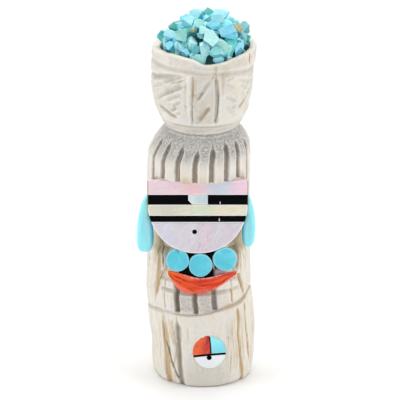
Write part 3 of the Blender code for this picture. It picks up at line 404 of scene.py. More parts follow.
def lumps(points, size, seed):
    """Smooth random bumps between -1 and 1, about size millimetres across."""
    values = np.random.default_rng(seed).uniform(-1.0, 1.0, 4096)
    primes = (73856093, 19349663, 83492791)
    place = points / np.asarray(size, float)
    cell = np.floor(place).astype(np.int64)
    part = place - cell
    part = part * part * (3.0 - 2.0 * part)
    total = 0.0
    for corner in product((0, 1), repeat=3):
        key, weight = 0, 1.0
        for k in range(3):
            key = key ^ (cell[..., k] + corner[k]) * primes[k]
            weight = weight * np.abs(1 - corner[k] - part[..., k])
        total = total + weight * values[key & (len(values) - 1)]
    return total


def full_radius(angle, height):
    """The antler's radius: the turned neck is fuller in front and behind than at its sides."""
    facing = np.cos(np.radians(angle - 3.0)) ** 2
    return half_width(height) + facing * np.exp(-(((height - 69.7) / 1.8) ** 2))


def smooth(grid, times):
    """Averages a grid with its neighbours, joined up across its sides but not its ends."""
    for _ in range(times):
        padded = np.pad(grid, ((1, 1), (0, 0)), mode="edge")
        grid = 0.5 * grid + 0.25 * (padded[2:] + padded[:-2])
        grid = 0.5 * grid + 0.25 * (np.roll(grid, 1, 1) + np.roll(grid, -1, 1))
    return grid


def half_width(height):
    return eased([(z, half) for z, half, _ in PROFILE], height)


def middle(height):
    return eased([(z, shift) for z, _, shift in PROFILE], height)


def hair_edge(angle):
    return HAIR_EDGE - HAIR_DROP * blend(HAIR_DROP_FROM, HAIR_DROP_FULL, np.abs(angle))


def plate_point(x, drop, out):
    return PLATE_TOP + Vector((x, 0.0, 0.0)) + PLATE_DOWN * drop + PLATE_OUT * out


def sun_point(x, up, out):
    """A point on the skirt: x along the curved surface and up from the sun's middle."""
    height = SUN_HEIGHT + up
    half = float(half_width(SUN_HEIGHT))
    turn, radius = math.radians(SUN_ANGLE) + x / half, half + out
    return Vector((float(middle(height)) + radius * math.sin(turn), -DEPTH * radius * math.cos(turn), height))


# ================================================================ finishes
class Knob:
    """One value in a finish. Sums and products of knobs add the Math nodes that work them out."""

    def __init__(self, finish, socket):
        self.finish, self.socket = finish, socket

    def math(self, operation, *values):
        return self.finish.add("ShaderNodeMath", {"operation": operation}, dict(enumerate(values)))

    def __add__(self, other):
        return self.math("ADD", self, other)

    __radd__ = __add__

    def __mul__(self, other):
        return self.math("MULTIPLY", self, other)

    __rmul__ = __mul__

    def __sub__(self, other):
        return self.math("SUBTRACT", self, other)

    def __rsub__(self, other):
        return self.math("SUBTRACT", other, self)

    def size(self):
        return self.math("ABSOLUTE", self)

    def between(self, low, high):
        """0 at low, 1 at high, eased, and held beyond them."""
        return self.finish.add("ShaderNodeMapRange", {"interpolation_type": "SMOOTHSTEP", "clamp": True},
                               {"Value": self, "From Min": low, "From Max": high})

    def near(self, place, reach):
        """1 at a place, falling to 0 at a distance of reach from it."""
        return (self - place).size().between(reach, 0.0)


class Finish:
    """A material made of one Principled shader and whatever feeds it."""

    def __init__(self, name, **even):
        self.material = bpy.data.materials.new(name)
        self.material.use_nodes = True
        self.tree = self.material.node_tree
        self.shader = self.tree.nodes["Principled BSDF"]
        for socket, value in even.items():
            self.shader.inputs[socket.replace("_", " ")].default_value = value

    def add(self, kind, settings=None, inputs=None, output=0):
        """Adds a node: its settings first, then its sockets' values or links."""
        node = self.tree.nodes.new(kind)
        for key, value in (settings or {}).items():
            setattr(node, key, value)
        for key, value in (inputs or {}).items():
            if isinstance(value, Knob):
                self.tree.links.new(value.socket, node.inputs[key])
            else:
                node.inputs[key].default_value = value
        return Knob(self, node.outputs[output])

    def feed(self, socket, knob):
        self.tree.links.new(knob.socket, self.shader.inputs[socket])

    def place(self, stretch=(1.0, 1.0, 1.0), lean=0.0):
        """The point on the piece in millimetres, turned by lean in front view, squeezed along each axis."""
        point = self.add("ShaderNodeTexCoord", output="Object")
        turned = self.add("ShaderNodeVectorRotate", {"rotation_type": "Y_AXIS"},
                          {"Vector": point, "Angle": lean})
        return self.add("ShaderNodeMapping", {"vector_type": "POINT"},
                        {"Vector": turned, "Scale": [s / MM for s in stretch]})

    def axis(self, name):
        """One coordinate in millimetres."""
        return self.add("ShaderNodeSeparateXYZ", inputs={0: self.place()}, output=name)

    def cloud(self, scale, stretch=(1.0, 1.0, 1.0), detail=3.0, rough=0.55, warp=0.0, lean=0.0):
        """Soft noise of about 1 / scale millimetres."""
        return self.noise(self.place(stretch, lean), scale, detail, rough, warp)

    def noise(self, at, scale, detail, rough, warp):
        return self.add("ShaderNodeTexNoise", inputs={
            "Vector": at, "Scale": scale, "Detail": detail, "Roughness": rough, "Distortion": warp})

    def cells(self, scale, stretch=(1.0, 1.0, 1.0), feature="F1"):
        return self.add("ShaderNodeTexVoronoi", {"feature": feature},
                        {"Vector": self.place(stretch), "Scale": scale})

    def mask(self, name):
        """A value that was painted on the mesh."""
        return self.add("ShaderNodeAttribute", {"attribute_name": name}, output="Fac")

    def tint(self, factor, under, over):
        """Colour under, with colour over laid on by factor."""
        under, over = (value if isinstance(value, Knob) else (*value, 1.0) for value in (under, over))
        return self.add("ShaderNodeMix", {"data_type": "RGBA"}, {0: factor, 6: under, 7: over}, output=2)

    def coats(self, base, *layers):
        """A colour with others laid over it one by one, each given as (factor, colour)."""
        for factor, over in layers:
            base = self.tint(factor, base, over)
        return base

    def bump(self, height, depth, strength=1.0):
        """Raises the surface by a height of 0 to 1 times depth in millimetres."""
        self.feed("Normal", self.add("ShaderNodeBump", inputs={
            "Strength": strength, "Distance": depth * MM, "Height": height}))


def antler_finish(settings):
    f = Finish("bleached antler", Roughness=0.62, Specular_IOR_Level=0.3)
    soil, raw, grey, marrow, fibre, worn = (f.mask(name) for name in MASKS)
    broad = f.cloud(0.16, (1.0, 1.0, 0.5), 3.0)
    patch = f.cloud(0.55, (1.0, 1.0, 0.6), 4.0, 0.6, 0.6)
    streaks = f.cloud(1.1, (1.0, 1.0, 0.07), 4.0, 0.65)
    fine = f.cloud(3.2, (1.0, 1.0, 0.2), 4.0, 0.7)
    thread = f.cloud(3.4, (1.0, 1.0, 0.06), 3.0, 0.6)
    grit = f.cloud(4.5, detail=4.0, rough=0.75)
    speck = f.cloud(2.4, detail=3.0, rough=0.7)
    pores = f.cells(3.1, (1.0, 1.0, 0.8)).between(0.3, 0.05)
    base = f.coats(
        settings.pale,
        (patch.between(0.42, 0.66) * 0.55, settings.cream),
        (patch.between(0.48, 0.3) * 0.45, paint(222, 220, 221)),
        (streaks.between(0.45, 0.68) * broad.between(0.3, 0.6) * fibre * 0.9, settings.cream),
        (fine.between(0.5, 0.8) * (0.2 + fibre * 0.3), paint(203, 192, 176)),
        (thread.between(0.5, 0.66) * fibre * 0.45, paint(206, 196, 180)),
        (grit.between(0.5, 0.75) * 0.4, paint(192, 190, 190)),
        (grit.between(0.46, 0.2) * 0.35, paint(253, 252, 249)),
    )
    raw_edge = (raw + (fine - 0.5) * 0.6 * raw.between(0.02, 0.4)).between(0.05, 1.0)
    base = f.tint(raw_edge, base, settings.tan)
    dull = (grey * (0.55 + grit * 0.9)).between(0.1, 1.0)
    base = f.tint(dull * 0.75, base, settings.grey)
    crust = grey.between(0.35, 0.9)
    base = f.coats(
        base,
        (crust * speck.between(0.5, 0.36) * 0.6, paint(122, 119, 116)),
        (crust * speck.between(0.53, 0.66) * 0.9, paint(240, 239, 237)),
        (crust * pores * 0.5, paint(112, 109, 105)),
        (marrow, f.tint(pores, paint(176, 158, 128), paint(92, 76, 58))),
    )
    # Dirt in the cuts, and painted shade in the hollows, the recesses and along the cut floors.
    dirt_and_shade = (soil * (0.7 + fine * 0.6)).between(0.03, 1.05)
    base = f.coats(
        base,
        (dirt_and_shade, settings.soil),
        # Paler ridges: rubbed, with a painted highlight.
        (worn * (0.45 + grit * 0.7), paint(253, 250, 243)),
    )
    f.feed("Base Color", base)
    f.feed("Roughness", 0.55 + grit * 0.25)
    height = streaks * fibre * 0.5 - thread * fibre * 0.4 + fine * 0.35 + grit * 0.4
    height = height + speck * crust * 1.6 - pores * (crust * 0.8 + marrow)
    f.bump(height, 0.17, 0.8)
    return f.material


def nacre_finish(name, body, patches, streak, sheen, lean=0.2, veined=None):
    """Mother-of-pearl: soft clouds, fine growth lines, broad patches of colour along X and a veined place."""
    f = Finish(name, Roughness=0.22, Specular_IOR_Level=0.35, Coat_Weight=0.15, Coat_Roughness=0.08)
    x = f.axis("X")
    clouds = f.cloud(0.32, (1.0, 1.0, 1.5), 3.0, 0.5, 1.0, lean)
    drift = f.cloud(0.2, (1.0, 1.0, 1.6), 2.0, 0.5, 0.3, lean) * 4.0 - 2.0
    lines = f.cloud(0.9, (0.3, 1.0, 1.7), 4.0, 0.6, 1.6, lean)
    grain = f.cloud(3.5, (0.4, 1.0, 1.4), 3.0, 0.6, 0.5, lean)
    base = f.tint(clouds.between(0.35, 0.65) * 0.5, body, sheen)
    for centre, reach, shade, strength in patches:
        base = f.tint((x + drift).near(centre, reach) * strength, base, shade)
    base = f.coats(
        base,
        (lines.between(0.5, 0.7) * 0.4, streak),
        (lines.between(0.46, 0.3) * 0.3, paint(252, 251, 252)),
        (grain.between(0.52, 0.72) * 0.18, streak),
    )
    if veined:
        veins = f.cloud(1.3, (1.0, 1.0, 0.2), 3.0, 0.6, 0.5, -0.35).between(0.5, 0.62)
        base = f.tint(veins * x.near(*veined) * 0.5, base, paint(182, 170, 180))
    base = f.coats(
        base,
        # A pale line along the ground front edge: the shell's own whitish ground edge, with a painted
        # highlight along the bevel.
        (f.mask("edge"), paint(255, 252, 253)),
        (f.mask("end"), paint(176, 148, 120)),
    )
    f.feed("Base Color", base)
    f.feed("Roughness", 0.18 + clouds * 0.14)
    f.bump(lines, 0.02, 0.25)
    return f.material


def jet_finish(name, settings, glued=False):
    f = Finish(name, Roughness=0.2, Specular_IOR_Level=0.03)
    smear = f.cloud(0.8, (0.4, 1.0, 1.6), 4.0, 0.6)
    grain = f.cloud(6.0, detail=2.0)
    dust = f.cells(1.6).between(0.07, 0.0)
    x, z = f.axis("X"), f.axis("Z")
    base = f.coats(
        settings.jet,
        (smear.between(0.45, 0.75) * 0.4, paint(15, 17, 21)),
        (dust * 0.2, paint(70, 72, 78)),
    )
    for place, height, tall in FLECKS:
        fleck = (x + grain * 0.5 - 0.25).near(place, 0.22) * (z + grain - 0.5).near(height, tall)
        base = f.tint(fleck.between(0.25, 0.5) * 0.9, base, paint(232, 234, 224))
    if glued:
        sliver = x.near(3.5, 0.55) * z.between(37.9, 36.9) * z.between(33.2, 34.6)
        foot = x.between(3.0, 4.4) * z.between(34.6, 33.2) * (0.3 + smear)
        glue = f.tint(grain, paint(176, 138, 148), paint(226, 196, 204))
        base = f.tint((sliver + foot).between(0.1, 1.0) * 0.9, base, glue)
    base = f.tint(f.mask("end"), base, paint(120, 92, 66))
    f.feed("Base Color", base)
    f.feed("Roughness", 0.16 + smear * 0.2)
    f.bump(smear, 0.01, 0.3)
    return f.material


def turquoise_finish(name, body, cloudy):
    f = Finish(name, Roughness=0.3, Specular_IOR_Level=0.4, Coat_Weight=0.12, Coat_Roughness=0.12)
    clouds = f.cloud(0.3, detail=4.0, rough=0.55, warp=0.4)
    fine = f.cloud(2.2, detail=4.0, rough=0.65)
    veins = f.cells(0.24, feature="DISTANCE_TO_EDGE").between(0.025, 0.0) * fine.between(0.55, 0.75)
    base = f.coats(
        body,
        (clouds.between(0.42, 0.75) * (0.35 * cloudy), paint(150, 234, 247)),
        (clouds.between(0.46, 0.25) * (0.3 * cloudy), paint(84, 190, 214)),
        (fine.between(0.55, 0.8) * 0.25, paint(196, 246, 252)),
        (veins * (0.45 * cloudy), paint(66, 128, 132)),
    )
    streaks = f.cloud(1.2, (1.0, 1.0, 0.12), 3.0, 0.6, 0.4)
    base = f.coats(
        base,
        (streaks.between(0.5, 0.66) * f.mask("ground") * 0.3, paint(206, 252, 255)),
        (streaks.between(0.44, 0.3) * f.mask("ground") * 0.3, paint(96, 218, 250)),
        (f.mask("gleam") * 0.6, paint(196, 252, 255)),
        (f.mask("shade") * (0.5 + streaks * 0.5), paint(30, 170, 214)),
        # Painted highlight on a bead's rounded rim.
        (f.mask("edge") * (0.15 + fine * 0.6), paint(190, 240, 246)),
        (f.mask("spot") * fine.between(0.4, 0.6), paint(74, 132, 138)),
    )
    f.feed("Base Color", base)
    f.feed("Roughness", 0.24 + fine * 0.16)
    f.bump(fine + clouds, 0.03, 0.3)
    return f.material


def coral_finish(settings):
    """Coral whose grain follows the crescent: across is 0 at its upper edge and 1 at its lower."""
    f = Finish("orange-red coral", Roughness=0.18, Specular_IOR_Level=0.35, Coat_Weight=0.3,
               Coat_Roughness=0.06)
    x, across = f.axis("X"), f.mask("across")
    along = f.add("ShaderNodeCombineXYZ", inputs={0: x * 0.075, 1: across * 2.5, 2: f.axis("Z") * 0.06})
    grain = f.noise(along, 1.3, 3.0, 0.6, 0.3)
    broad = f.cloud(0.28, (0.6, 1.0, 1.0), 2.0)
    spots = f.cloud(1.6, detail=4.0, rough=0.6)
    base = f.coats(
        settings.coral,
        (broad.between(0.42, 0.6) * 0.6, paint(214, 42, 26)),
        (f.mask("glow") * (0.25 + spots * 0.8), paint(255, 110, 40)),
        (grain.between(0.51, 0.58) * (1.0 - f.mask("light") * 0.6) * 0.9, paint(166, 14, 8)),
        (grain.between(0.47, 0.38) * 0.75, paint(255, 112, 62)),
        # Painted shade in the crescent's hollowed upper facet, and a darker red towards the lower right of
        # the sun's quarter.
        (f.mask("dusk") * (0.3 + spots * 0.6), paint(176, 16, 10)),
        (spots.between(0.6, 0.75) * 0.3, paint(250, 126, 78)),
        # Painted light on the crescent's steep lower facet, where the dark streaks are also fainter.
        (f.mask("light") * (0.1 + grain * 0.7), paint(240, 98, 66)),
        # A painted highlight along the crescent's edges, strongest along the upper one.
        (f.mask("edge") * spots.between(0.36, 0.6) * 0.75, paint(252, 206, 192)),
    )
    f.feed("Base Color", base)
    f.feed("Roughness", 0.12 + spots * 0.16)
    f.bump(grain * 1.6 + spots * 0.5, 0.14, 0.6)
    return f.material


def chip_finish(settings):
    f = Finish("turquoise chips", Roughness=0.55, Specular_IOR_Level=0.35)
    tone, chalk, brown, deep, facet, rim = (f.mask(name) for name in CHIP_MASKS + CHIP_FACE_MASKS)
    clouds = f.cloud(0.7, detail=4.0, rough=0.6, warp=0.6)
    fine = f.cloud(2.8, detail=4.0, rough=0.7)
    seams = f.cells(0.55, feature="DISTANCE_TO_EDGE").between(0.05, 0.0)
    host = f.tint(fine.between(0.4, 0.6), settings.matrix, paint(214, 190, 130))
    base = f.coats(
        settings.blue,
        (tone, settings.green),
        (clouds.between(0.45, 0.7) * 0.6, paint(160, 234, 240)),
        (clouds.between(0.45, 0.25) * 0.6, paint(62, 166, 180)),
        (chalk * (0.6 + fine * 0.5), settings.chalk),
        # Painted light: faces that look up lighter, faces that look down darker.
        (facet.between(0.5, 0.95) * 0.72, paint(196, 248, 255)),
        (facet.between(0.5, 0.0) * 0.72, paint(16, 124, 150)),
        (fine.between(0.52, 0.75) * 0.4, paint(220, 247, 246)),
        (seams * fine.between(0.42, 0.6) * 0.4, paint(96, 128, 108)),
        (brown * clouds.between(0.36, 0.5), host),
        # Painted highlight on the bevelled edges.
        (rim * fine.between(0.25, 0.5) * 0.9, paint(232, 253, 252)),
        # Painted shade on chips sunk under the heap and on the core underneath, and darker chips.
        (deep, paint(10, 76, 82)),
    )
    f.feed("Base Color", base)
    f.feed("Roughness", 0.42 + fine * 0.25)
    f.bump(clouds + fine * 0.7, 0.16, 0.6)
    return f.material


def floor_finish(settings):
    f = Finish("studio floor", Roughness=0.9, Specular_IOR_Level=0.1)
    wear = f.cloud(0.02, detail=2.0)
    f.feed("Base Color", f.tint(wear * 0.06, settings.floor, paint(243, 243, 244)))
    return f.material


# ================================================================ pieces
def piece(name, points, faces, material, node, slot, sharp=None, masks=None, face_masks=None):
    """Makes a mesh piece from millimetre points and puts it in place of a measured node."""
    mesh = bpy.data.meshes.new(name)
    mesh.from_pydata([tuple(c * MM for c in p) for p in points], [], faces)
    mesh.update()
    for domain, found in (("POINT", masks), ("FACE", face_masks)):
        for key, values in (found or {}).items():
            layer = mesh.attributes.new(key, "FLOAT", domain)
            layer.data.foreach_set("value", np.asarray(values, np.float32))
    mesh.shade_smooth()
    if sharp is not None:
        mesh.set_sharp_from_angle(angle=math.radians(sharp))
    mesh.materials.append(material)
    made = bpy.data.objects.new(name, mesh)
    bpy.context.scene.collection.objects.link(made)
    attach(made, ROOT)
    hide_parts(node)


def skin(rings, close_start=True, close_end=True):
    """Points and faces of a tube through closed rings of one length."""
    points = [p for ring in rings for p in ring]
    count = len(rings[0])
    faces = []
    for r in range(len(rings) - 1):
        for i in range(count):
            j = (i + 1) % count
            faces.append((r * count + i, r * count + j, (r + 1) * count + j, (r + 1) * count + i))
    if close_start:
        faces.append(tuple(range(count - 1, -1, -1)))
    if close_end:
        faces.append(tuple(range(len(points) - count, len(points))))
    return points, faces


def facing_out(points, faces):
    """Turns every face over if the closed mesh is inside out."""
    volume = 0.0
    for face in faces:
        a = Vector(points[face[0]])
        for i in range(1, len(face) - 1):
            volume += a.dot(Vector(points[face[i]]).cross(Vector(points[face[i + 1]])))
    return faces if volume > 0.0 else [tuple(reversed(face)) for face in faces]


def inset(outline, distance):
    """Moves each corner of a flat outline inwards."""
    area = sum(a[0] * b[1] - b[0] * a[1] for a, b in zip(outline, outline[1:] + outline[:1]))
    side = 1.0 if area > 0 else -1.0
    moved = []
    for i, here in enumerate(outline):
        before, after = outline[i - 1], outline[(i + 1) % len(outline)]
        into = Vector((here[0] - before[0], here[1] - before[1])).normalized()
        out = Vector((after[0] - here[0], after[1] - here[1])).normalized()
        normal = Vector((-(into.y + out.y), into.x + out.x)) * side
        normal *= 2.0 / max(normal.length_squared, 0.5)
        moved.append((here[0] + normal.x * distance, here[1] + normal.y * distance))
    return moved


def slab(place, outline, back, front, bevel):
    """A flat plate with a rounded front edge, and how near each point is to that edge."""
    levels = ((0.0, back, 0.0), (0.0, front - bevel - 0.2, 0.0), (0.0, front - bevel, 1.0),
              (0.3 * bevel, front - 0.3 * bevel, 1.0), (bevel, front, 0.8), (bevel + 0.12, front, 0.0))
    rings, edge = [], []
    for distance, out, nearness in levels:
        ring = inset(outline, distance) if distance else outline
        rings.append([place(x, y, out) for x, y in ring])
        edge += [nearness] * len(ring)
    points, faces = skin(rings)
    return points, facing_out(points, faces), edge


def ribbon(place, stations, back, front, bevel):
    """A plate whose lower and upper edge are given at stations along X, so that it can curve."""
    rings = []
    for x, low, high in stations:
        soft = min(bevel, 0.3 * (high - low))
        span = [(low, back), (low, front - soft), (low + soft, front)]
        span += [(mix(low + soft, high - soft, s), front) for s in (0.25, 0.5, 0.75)]
        span += [(high - soft, front), (high, front - soft), (high, back)]
        rings.append([place(x, up, out) for up, out in span])
    points, faces = skin(rings)
    return points, facing_out(points, faces)


# ================================================================ the antler
class Carving:
    """The antler's outside as a grid of angles and heights, with what the knife took off it."""

    def __init__(self, angle, height):
        self.angle, self.height = angle, height
        self.radius = full_radius(angle, height)
        self.cut = np.zeros(angle.shape)
        for layer in MASKS:
            setattr(self, layer, np.zeros(angle.shape))
        turn = np.radians(angle)
        self.round = np.stack([self.radius * np.sin(turn), -self.radius * np.cos(turn), height], -1)
        self.ragged = lumps(self.round, 0.9, 3)

    def across(self, angle):
        """Millimetres round the antler from an angle, the short way."""
        return np.radians((self.angle - angle + 180.0) % 360.0 - 180.0) * self.radius

    def lay(self, layer, amount):
        """Adds to what is cut away. Of any other layer, the stronger of the old and the new stays."""
        old = getattr(self, layer)
        setattr(self, layer, old + amount if layer == "cut" else np.maximum(old, amount))

    def groove(self, path, width, depth, soil=0.5, raw=0.0, fade=FADE, lean=0.0, flat=0.0, turn=0.0):
        """A cut along a path that is turned round the antler."""
        corners = [(a + turn, z) for a, z in zip(path[::2], path[1::2])]
        near = np.full(self.angle.shape, 1e9)
        along, side = np.zeros(self.angle.shape), np.zeros(self.angle.shape)
        total = 0.0
        for (a0, z0), (a1, z1) in zip(corners, corners[1:]):
            u, v = self.across(a0), self.height - z0
            du, dv = np.radians(a1 - a0) * self.radius, z1 - z0
            length = np.sqrt(du * du + dv * dv)
            t = np.clip((u * du + v * dv) / (length * length), 0.0, 1.0)
            away = np.hypot(u - t * du, v - t * dv)
            closer = away < near
            near = np.where(closer, away, near)
            usual = float(np.hypot(np.radians(a1 - a0) * MEAN_RADIUS, dv))
            along = np.where(closer, total + t * usual, along)
            side = np.where(closer, np.sign(du * v - dv * u), side)
            total += usual
        slim = np.ones(along.shape)
        for reach, inward in zip(fade, (along / total, 1.0 - along / total)):
            if reach:
                slim *= 0.25 + 0.75 * blend(0.0, reach, inward)
        near = near + self.ragged * 0.06 * min(width, 1.0)
        share = near / (0.5 * width * slim * (1.0 + lean * side))
        fall = np.clip((1.0 - share) / (1.0 - flat), 0.0, 1.0)
        fall = mix(fall, fall * fall * (3.0 - 2.0 * fall), 0.6)
        self.cut = np.maximum(self.cut, 0.0) + depth * fall * slim * (1.0 - np.clip(self.cut, 0.0, 1.0) * 0.3)
        # Dirt and painted shade along the cut's floor and sides.
        self.lay("soil", soil * slim * np.clip((1.12 - share) / (1.0 - 0.8 * flat), 0.0, 1.0) ** 0.8)
        self.lay("raw", raw * slim * np.clip(1.6 - share, 0.0, 1.0))

    def ring(self, line, width, depth, soil=0.4, raw=0.0, flat=0.0, within=(-181.0, 181.0), soft=4.0):
        """A cut all the way round, or between two angles, along a line of heights."""
        share = np.abs(self.height - line + self.ragged * 0.05) / (0.5 * width)
        first, last = within
        here = blend(first - soft, first, self.angle) * (1.0 - blend(last, last + soft, self.angle))
        self.lay("cut", depth * (np.clip((1.0 - share) / (1.0 - flat), 0.0, 1.0) * here))
        # Dirt and painted shade along the cut.
        self.lay("soil", soil * here * np.clip(1.2 - share, 0.0, 1.0))
        self.lay("raw", raw * here * np.clip(1.8 - share, 0.0, 1.0))

    def box(self, left, right, low, high, soft=1.5, soft_up=0.4):
        """1 inside a patch of angles and heights, easing to 0 round it."""
        inside = 1.0
        for value, start, end, ease in ((self.angle, left, right, soft), (self.height, low, high, soft_up)):
            inside = inside * blend(start - ease, start + ease, value)
            inside = inside * (1.0 - blend(end - ease, end + ease, value))
        return inside

    def spot(self, angle, height, wide, tall):
        """1 at a place, easing to 0 at an ellipse of that half width and half height round it."""
        return 1.0 - blend(0.2, 1.0, np.hypot(self.across(angle) / wide, (self.height - height) / tall))

    def patches(self, table, turn=0.0, strength=1.0):
        for layer, amount, left, right, *rest in table:
            self.lay(layer, amount * strength * self.box(turn + left, turn + right, *rest))

    def scratches(self, rng, count, angles, heights, across, up, width, depth, soil, raw=0.0):
        """Short random cuts. A pair of numbers is the least and the most of what is drawn."""
        def draw(span):
            return rng.uniform(*span) if isinstance(span, tuple) else span

        for _ in range(count):
            a, z = draw(angles), draw(heights)
            path = (a, z, a + draw(across), z + draw(up))
            self.groove(path, draw(width), draw(depth), draw(soil), draw(raw))


def column_angles():
    """The grid's angles, closest together at the edges of the hair's grooves."""
    angles = []
    for here, after in zip(GROOVES, GROOVES[1:] + (GROOVES[0] + 360,)):
        room = math.radians(after - here) * GRID_RADIUS
        steps = FRONT_STEPS if GRID_FRONT[0] < here < GRID_FRONT[1] else BACK_STEPS
        places = list(steps) + [room / 2.0] + [room - s for s in steps[:0:-1]]
        angles += [here + math.degrees(p / GRID_RADIUS) for p in places]
    return (np.array(angles) + 180.0) % 360.0 - 180.0


def row_heights(angle):
    """The grid's rows, which follow the belt, the hair's edge, the band and the rim."""
    flat = np.zeros(len(angle))
    belt, band, rim, hair = eased(BELT, angle), eased(BAND, angle), eased(RIM, angle), hair_edge(angle)
    stops = ((flat, 1), (flat + 0.15, 1), (flat + 0.5, 1), (flat + 0.9, 1), (flat + 1.4, 1),
             (belt - 1.2, 53), (belt - 0.45, 4), (belt, 4), (belt + 0.45, 4), (belt + 1.1, 4),
             (flat + 26.1, 11), (flat + SPLIT, 4), (flat + 27.7, 4), (flat + 29.8, 8),
             (flat + SHOULDER_TOP, 24), (hair - 0.03, 35), (hair, 1), (flat + 62.0, 16), (flat + 69.3, 26),
             (flat + 72.8, 14), (band - 0.8, 48), (band + 0.8, 8), (rim - 0.5, 8))
    rows = []
    last = flat
    for stop, steps in stops:
        rows += [mix(last, stop, (i + 1) / steps) for i in range(steps)]
        last = stop
    return np.array(rows)


def carve_jar(c, rng):
    """The jar's band, panels, slashes and leaf pattern."""
    band = eased(BAND, c.angle)
    c.ring(band, 2.3, 0.45, soil=0.3, flat=0.1)
    c.ring(band + 1.25, 1.2, -0.1, soil=0.0)
    for turn, strength in JAR_SIDES:
        c.patches(PANEL_PATCHES, turn, strength)
        for path, width, depth, *rest in PANEL_CUTS:
            c.groove(path, width, depth * strength, *rest, turn=turn)
    for turn, _ in JAR_SIDES:
        for cut in LEAF_CUTS:
            c.groove(*cut, lean=LEAF_LEAN, turn=turn)
    for cut in JAR_CUTS:
        c.groove(*cut)
    for _ in range(JAR_SCRAPES):
        a, z = rng.uniform(-180, 180), rng.uniform(73.5, 90.5)
        fall, long = rng.uniform(-5.0, 3.0), rng.uniform(3.0, 11.0)
        width, depth, soil = rng.uniform(0.35, 1.6), rng.uniform(0.05, 0.19), rng.uniform(0.0, 0.3)
        c.groove((a, z, a + long, z - 0.25 * fall), width, depth, soil, rng.uniform(-0.4, 0.35))
    jar = blend(71.5, 73.5, c.height)
    c.patches(JAR_PATCHES)
    c.lay("grey", jar * (0.3 + 0.18 * lumps(c.round, (2.0, 2.0, 3.5), 36)))
    c.lay("soil", jar * (0.1 + 0.08 * lumps(c.round, (1.4, 1.4, 2.2), 37)))
    warm = c.box(-40.0, 62.0, 87.0, 92.5, 20.0, 1.5) * (0.22 + 0.2 * lumps(c.round, (2.4, 2.4, 1.2), 38))
    c.lay("raw", np.clip(warm, 0.0, 1.0))
    for cut in JAR_STAINS:
        c.groove(*cut)


def carve_hair(c, rng):
    """The locks of cut hair, and the crown they run down from."""
    over_edge = c.height - hair_edge(c.angle)
    below = over_edge < -EDGE_STEP
    kept = [below * layer for layer in (c.cut, c.soil, c.raw)]
    for a in GROOVES:
        top = float(eased(GROOVE_TOPS, a))
        low = float(hair_edge(np.array(float(a)))) - 0.6
        bent = a + rng.uniform(-0.5, 0.5)
        ends = (0.0, 0.2 if abs(a) < 60 else 0.14)
        depth = 1.0 + rng.uniform(-0.1, 0.12)
        c.groove((a, low, bent, mix(low, top, 0.5), a, top), 1.8, depth, 0.64, 0.35, ends, flat=0.5)
    c.cut, c.soil, c.raw = (np.where(below, old, new) for old, new in zip(kept, (c.cut, c.soil, c.raw)))
    locks = np.array(sorted(GROOVES), float)
    tone = np.random.default_rng(5).uniform(-1.0, 1.0, len(locks) + 1)[np.searchsorted(locks, c.angle)]
    in_hair = (over_edge >= -1e-6) & (c.height < 66.0)
    c.lay("cut", np.where(in_hair, 0.1 * tone, 0.0))
    c.lay("raw", (0.42 + 0.2 * tone) * blend(3.2, 0.0, over_edge) * in_hair)
    front = 0.45 + 0.55 * blend(110.0, 40.0, np.abs(c.angle))
    c.lay("grey", blend(59.0, 66.5, c.height) * (1.0 - blend(69.6, 71.0, c.height)) * front)
    c.ring(69.75, 0.9, 0.34, soil=0.3, within=(-40.0, 50.0), soft=30.0)
    c.ring(70.7, 1.2, -0.12, soil=0.0, within=(-70.0, 60.0), soft=20.0)
    c.lay("grey", 0.35 * blend(69.0, 70.5, c.height) * (1.0 - blend(72.0, 76.0, c.height)))
    c.ring(72.3, 0.8, 0.24, soil=0.32, raw=0.4, within=(-34.0, 26.0), soft=30.0)
    # A darker band round the neck under the jar's foot: painted shade under the jar's overhang.
    neck = blend(69.3, 70.0, c.height) * (1.0 - blend(72.0, 72.8, c.height))
    c.lay("soil", neck * (0.3 + 0.16 * lumps(c.round, (2.2, 2.2, 0.5), 39)))
    c.scratches(rng, 46, (-180, 180), (66.0, 71.5), (3, 14), (-0.4, 0.4), (0.25, 0.6), (0.04, 0.14),
                (0.1, 0.35))


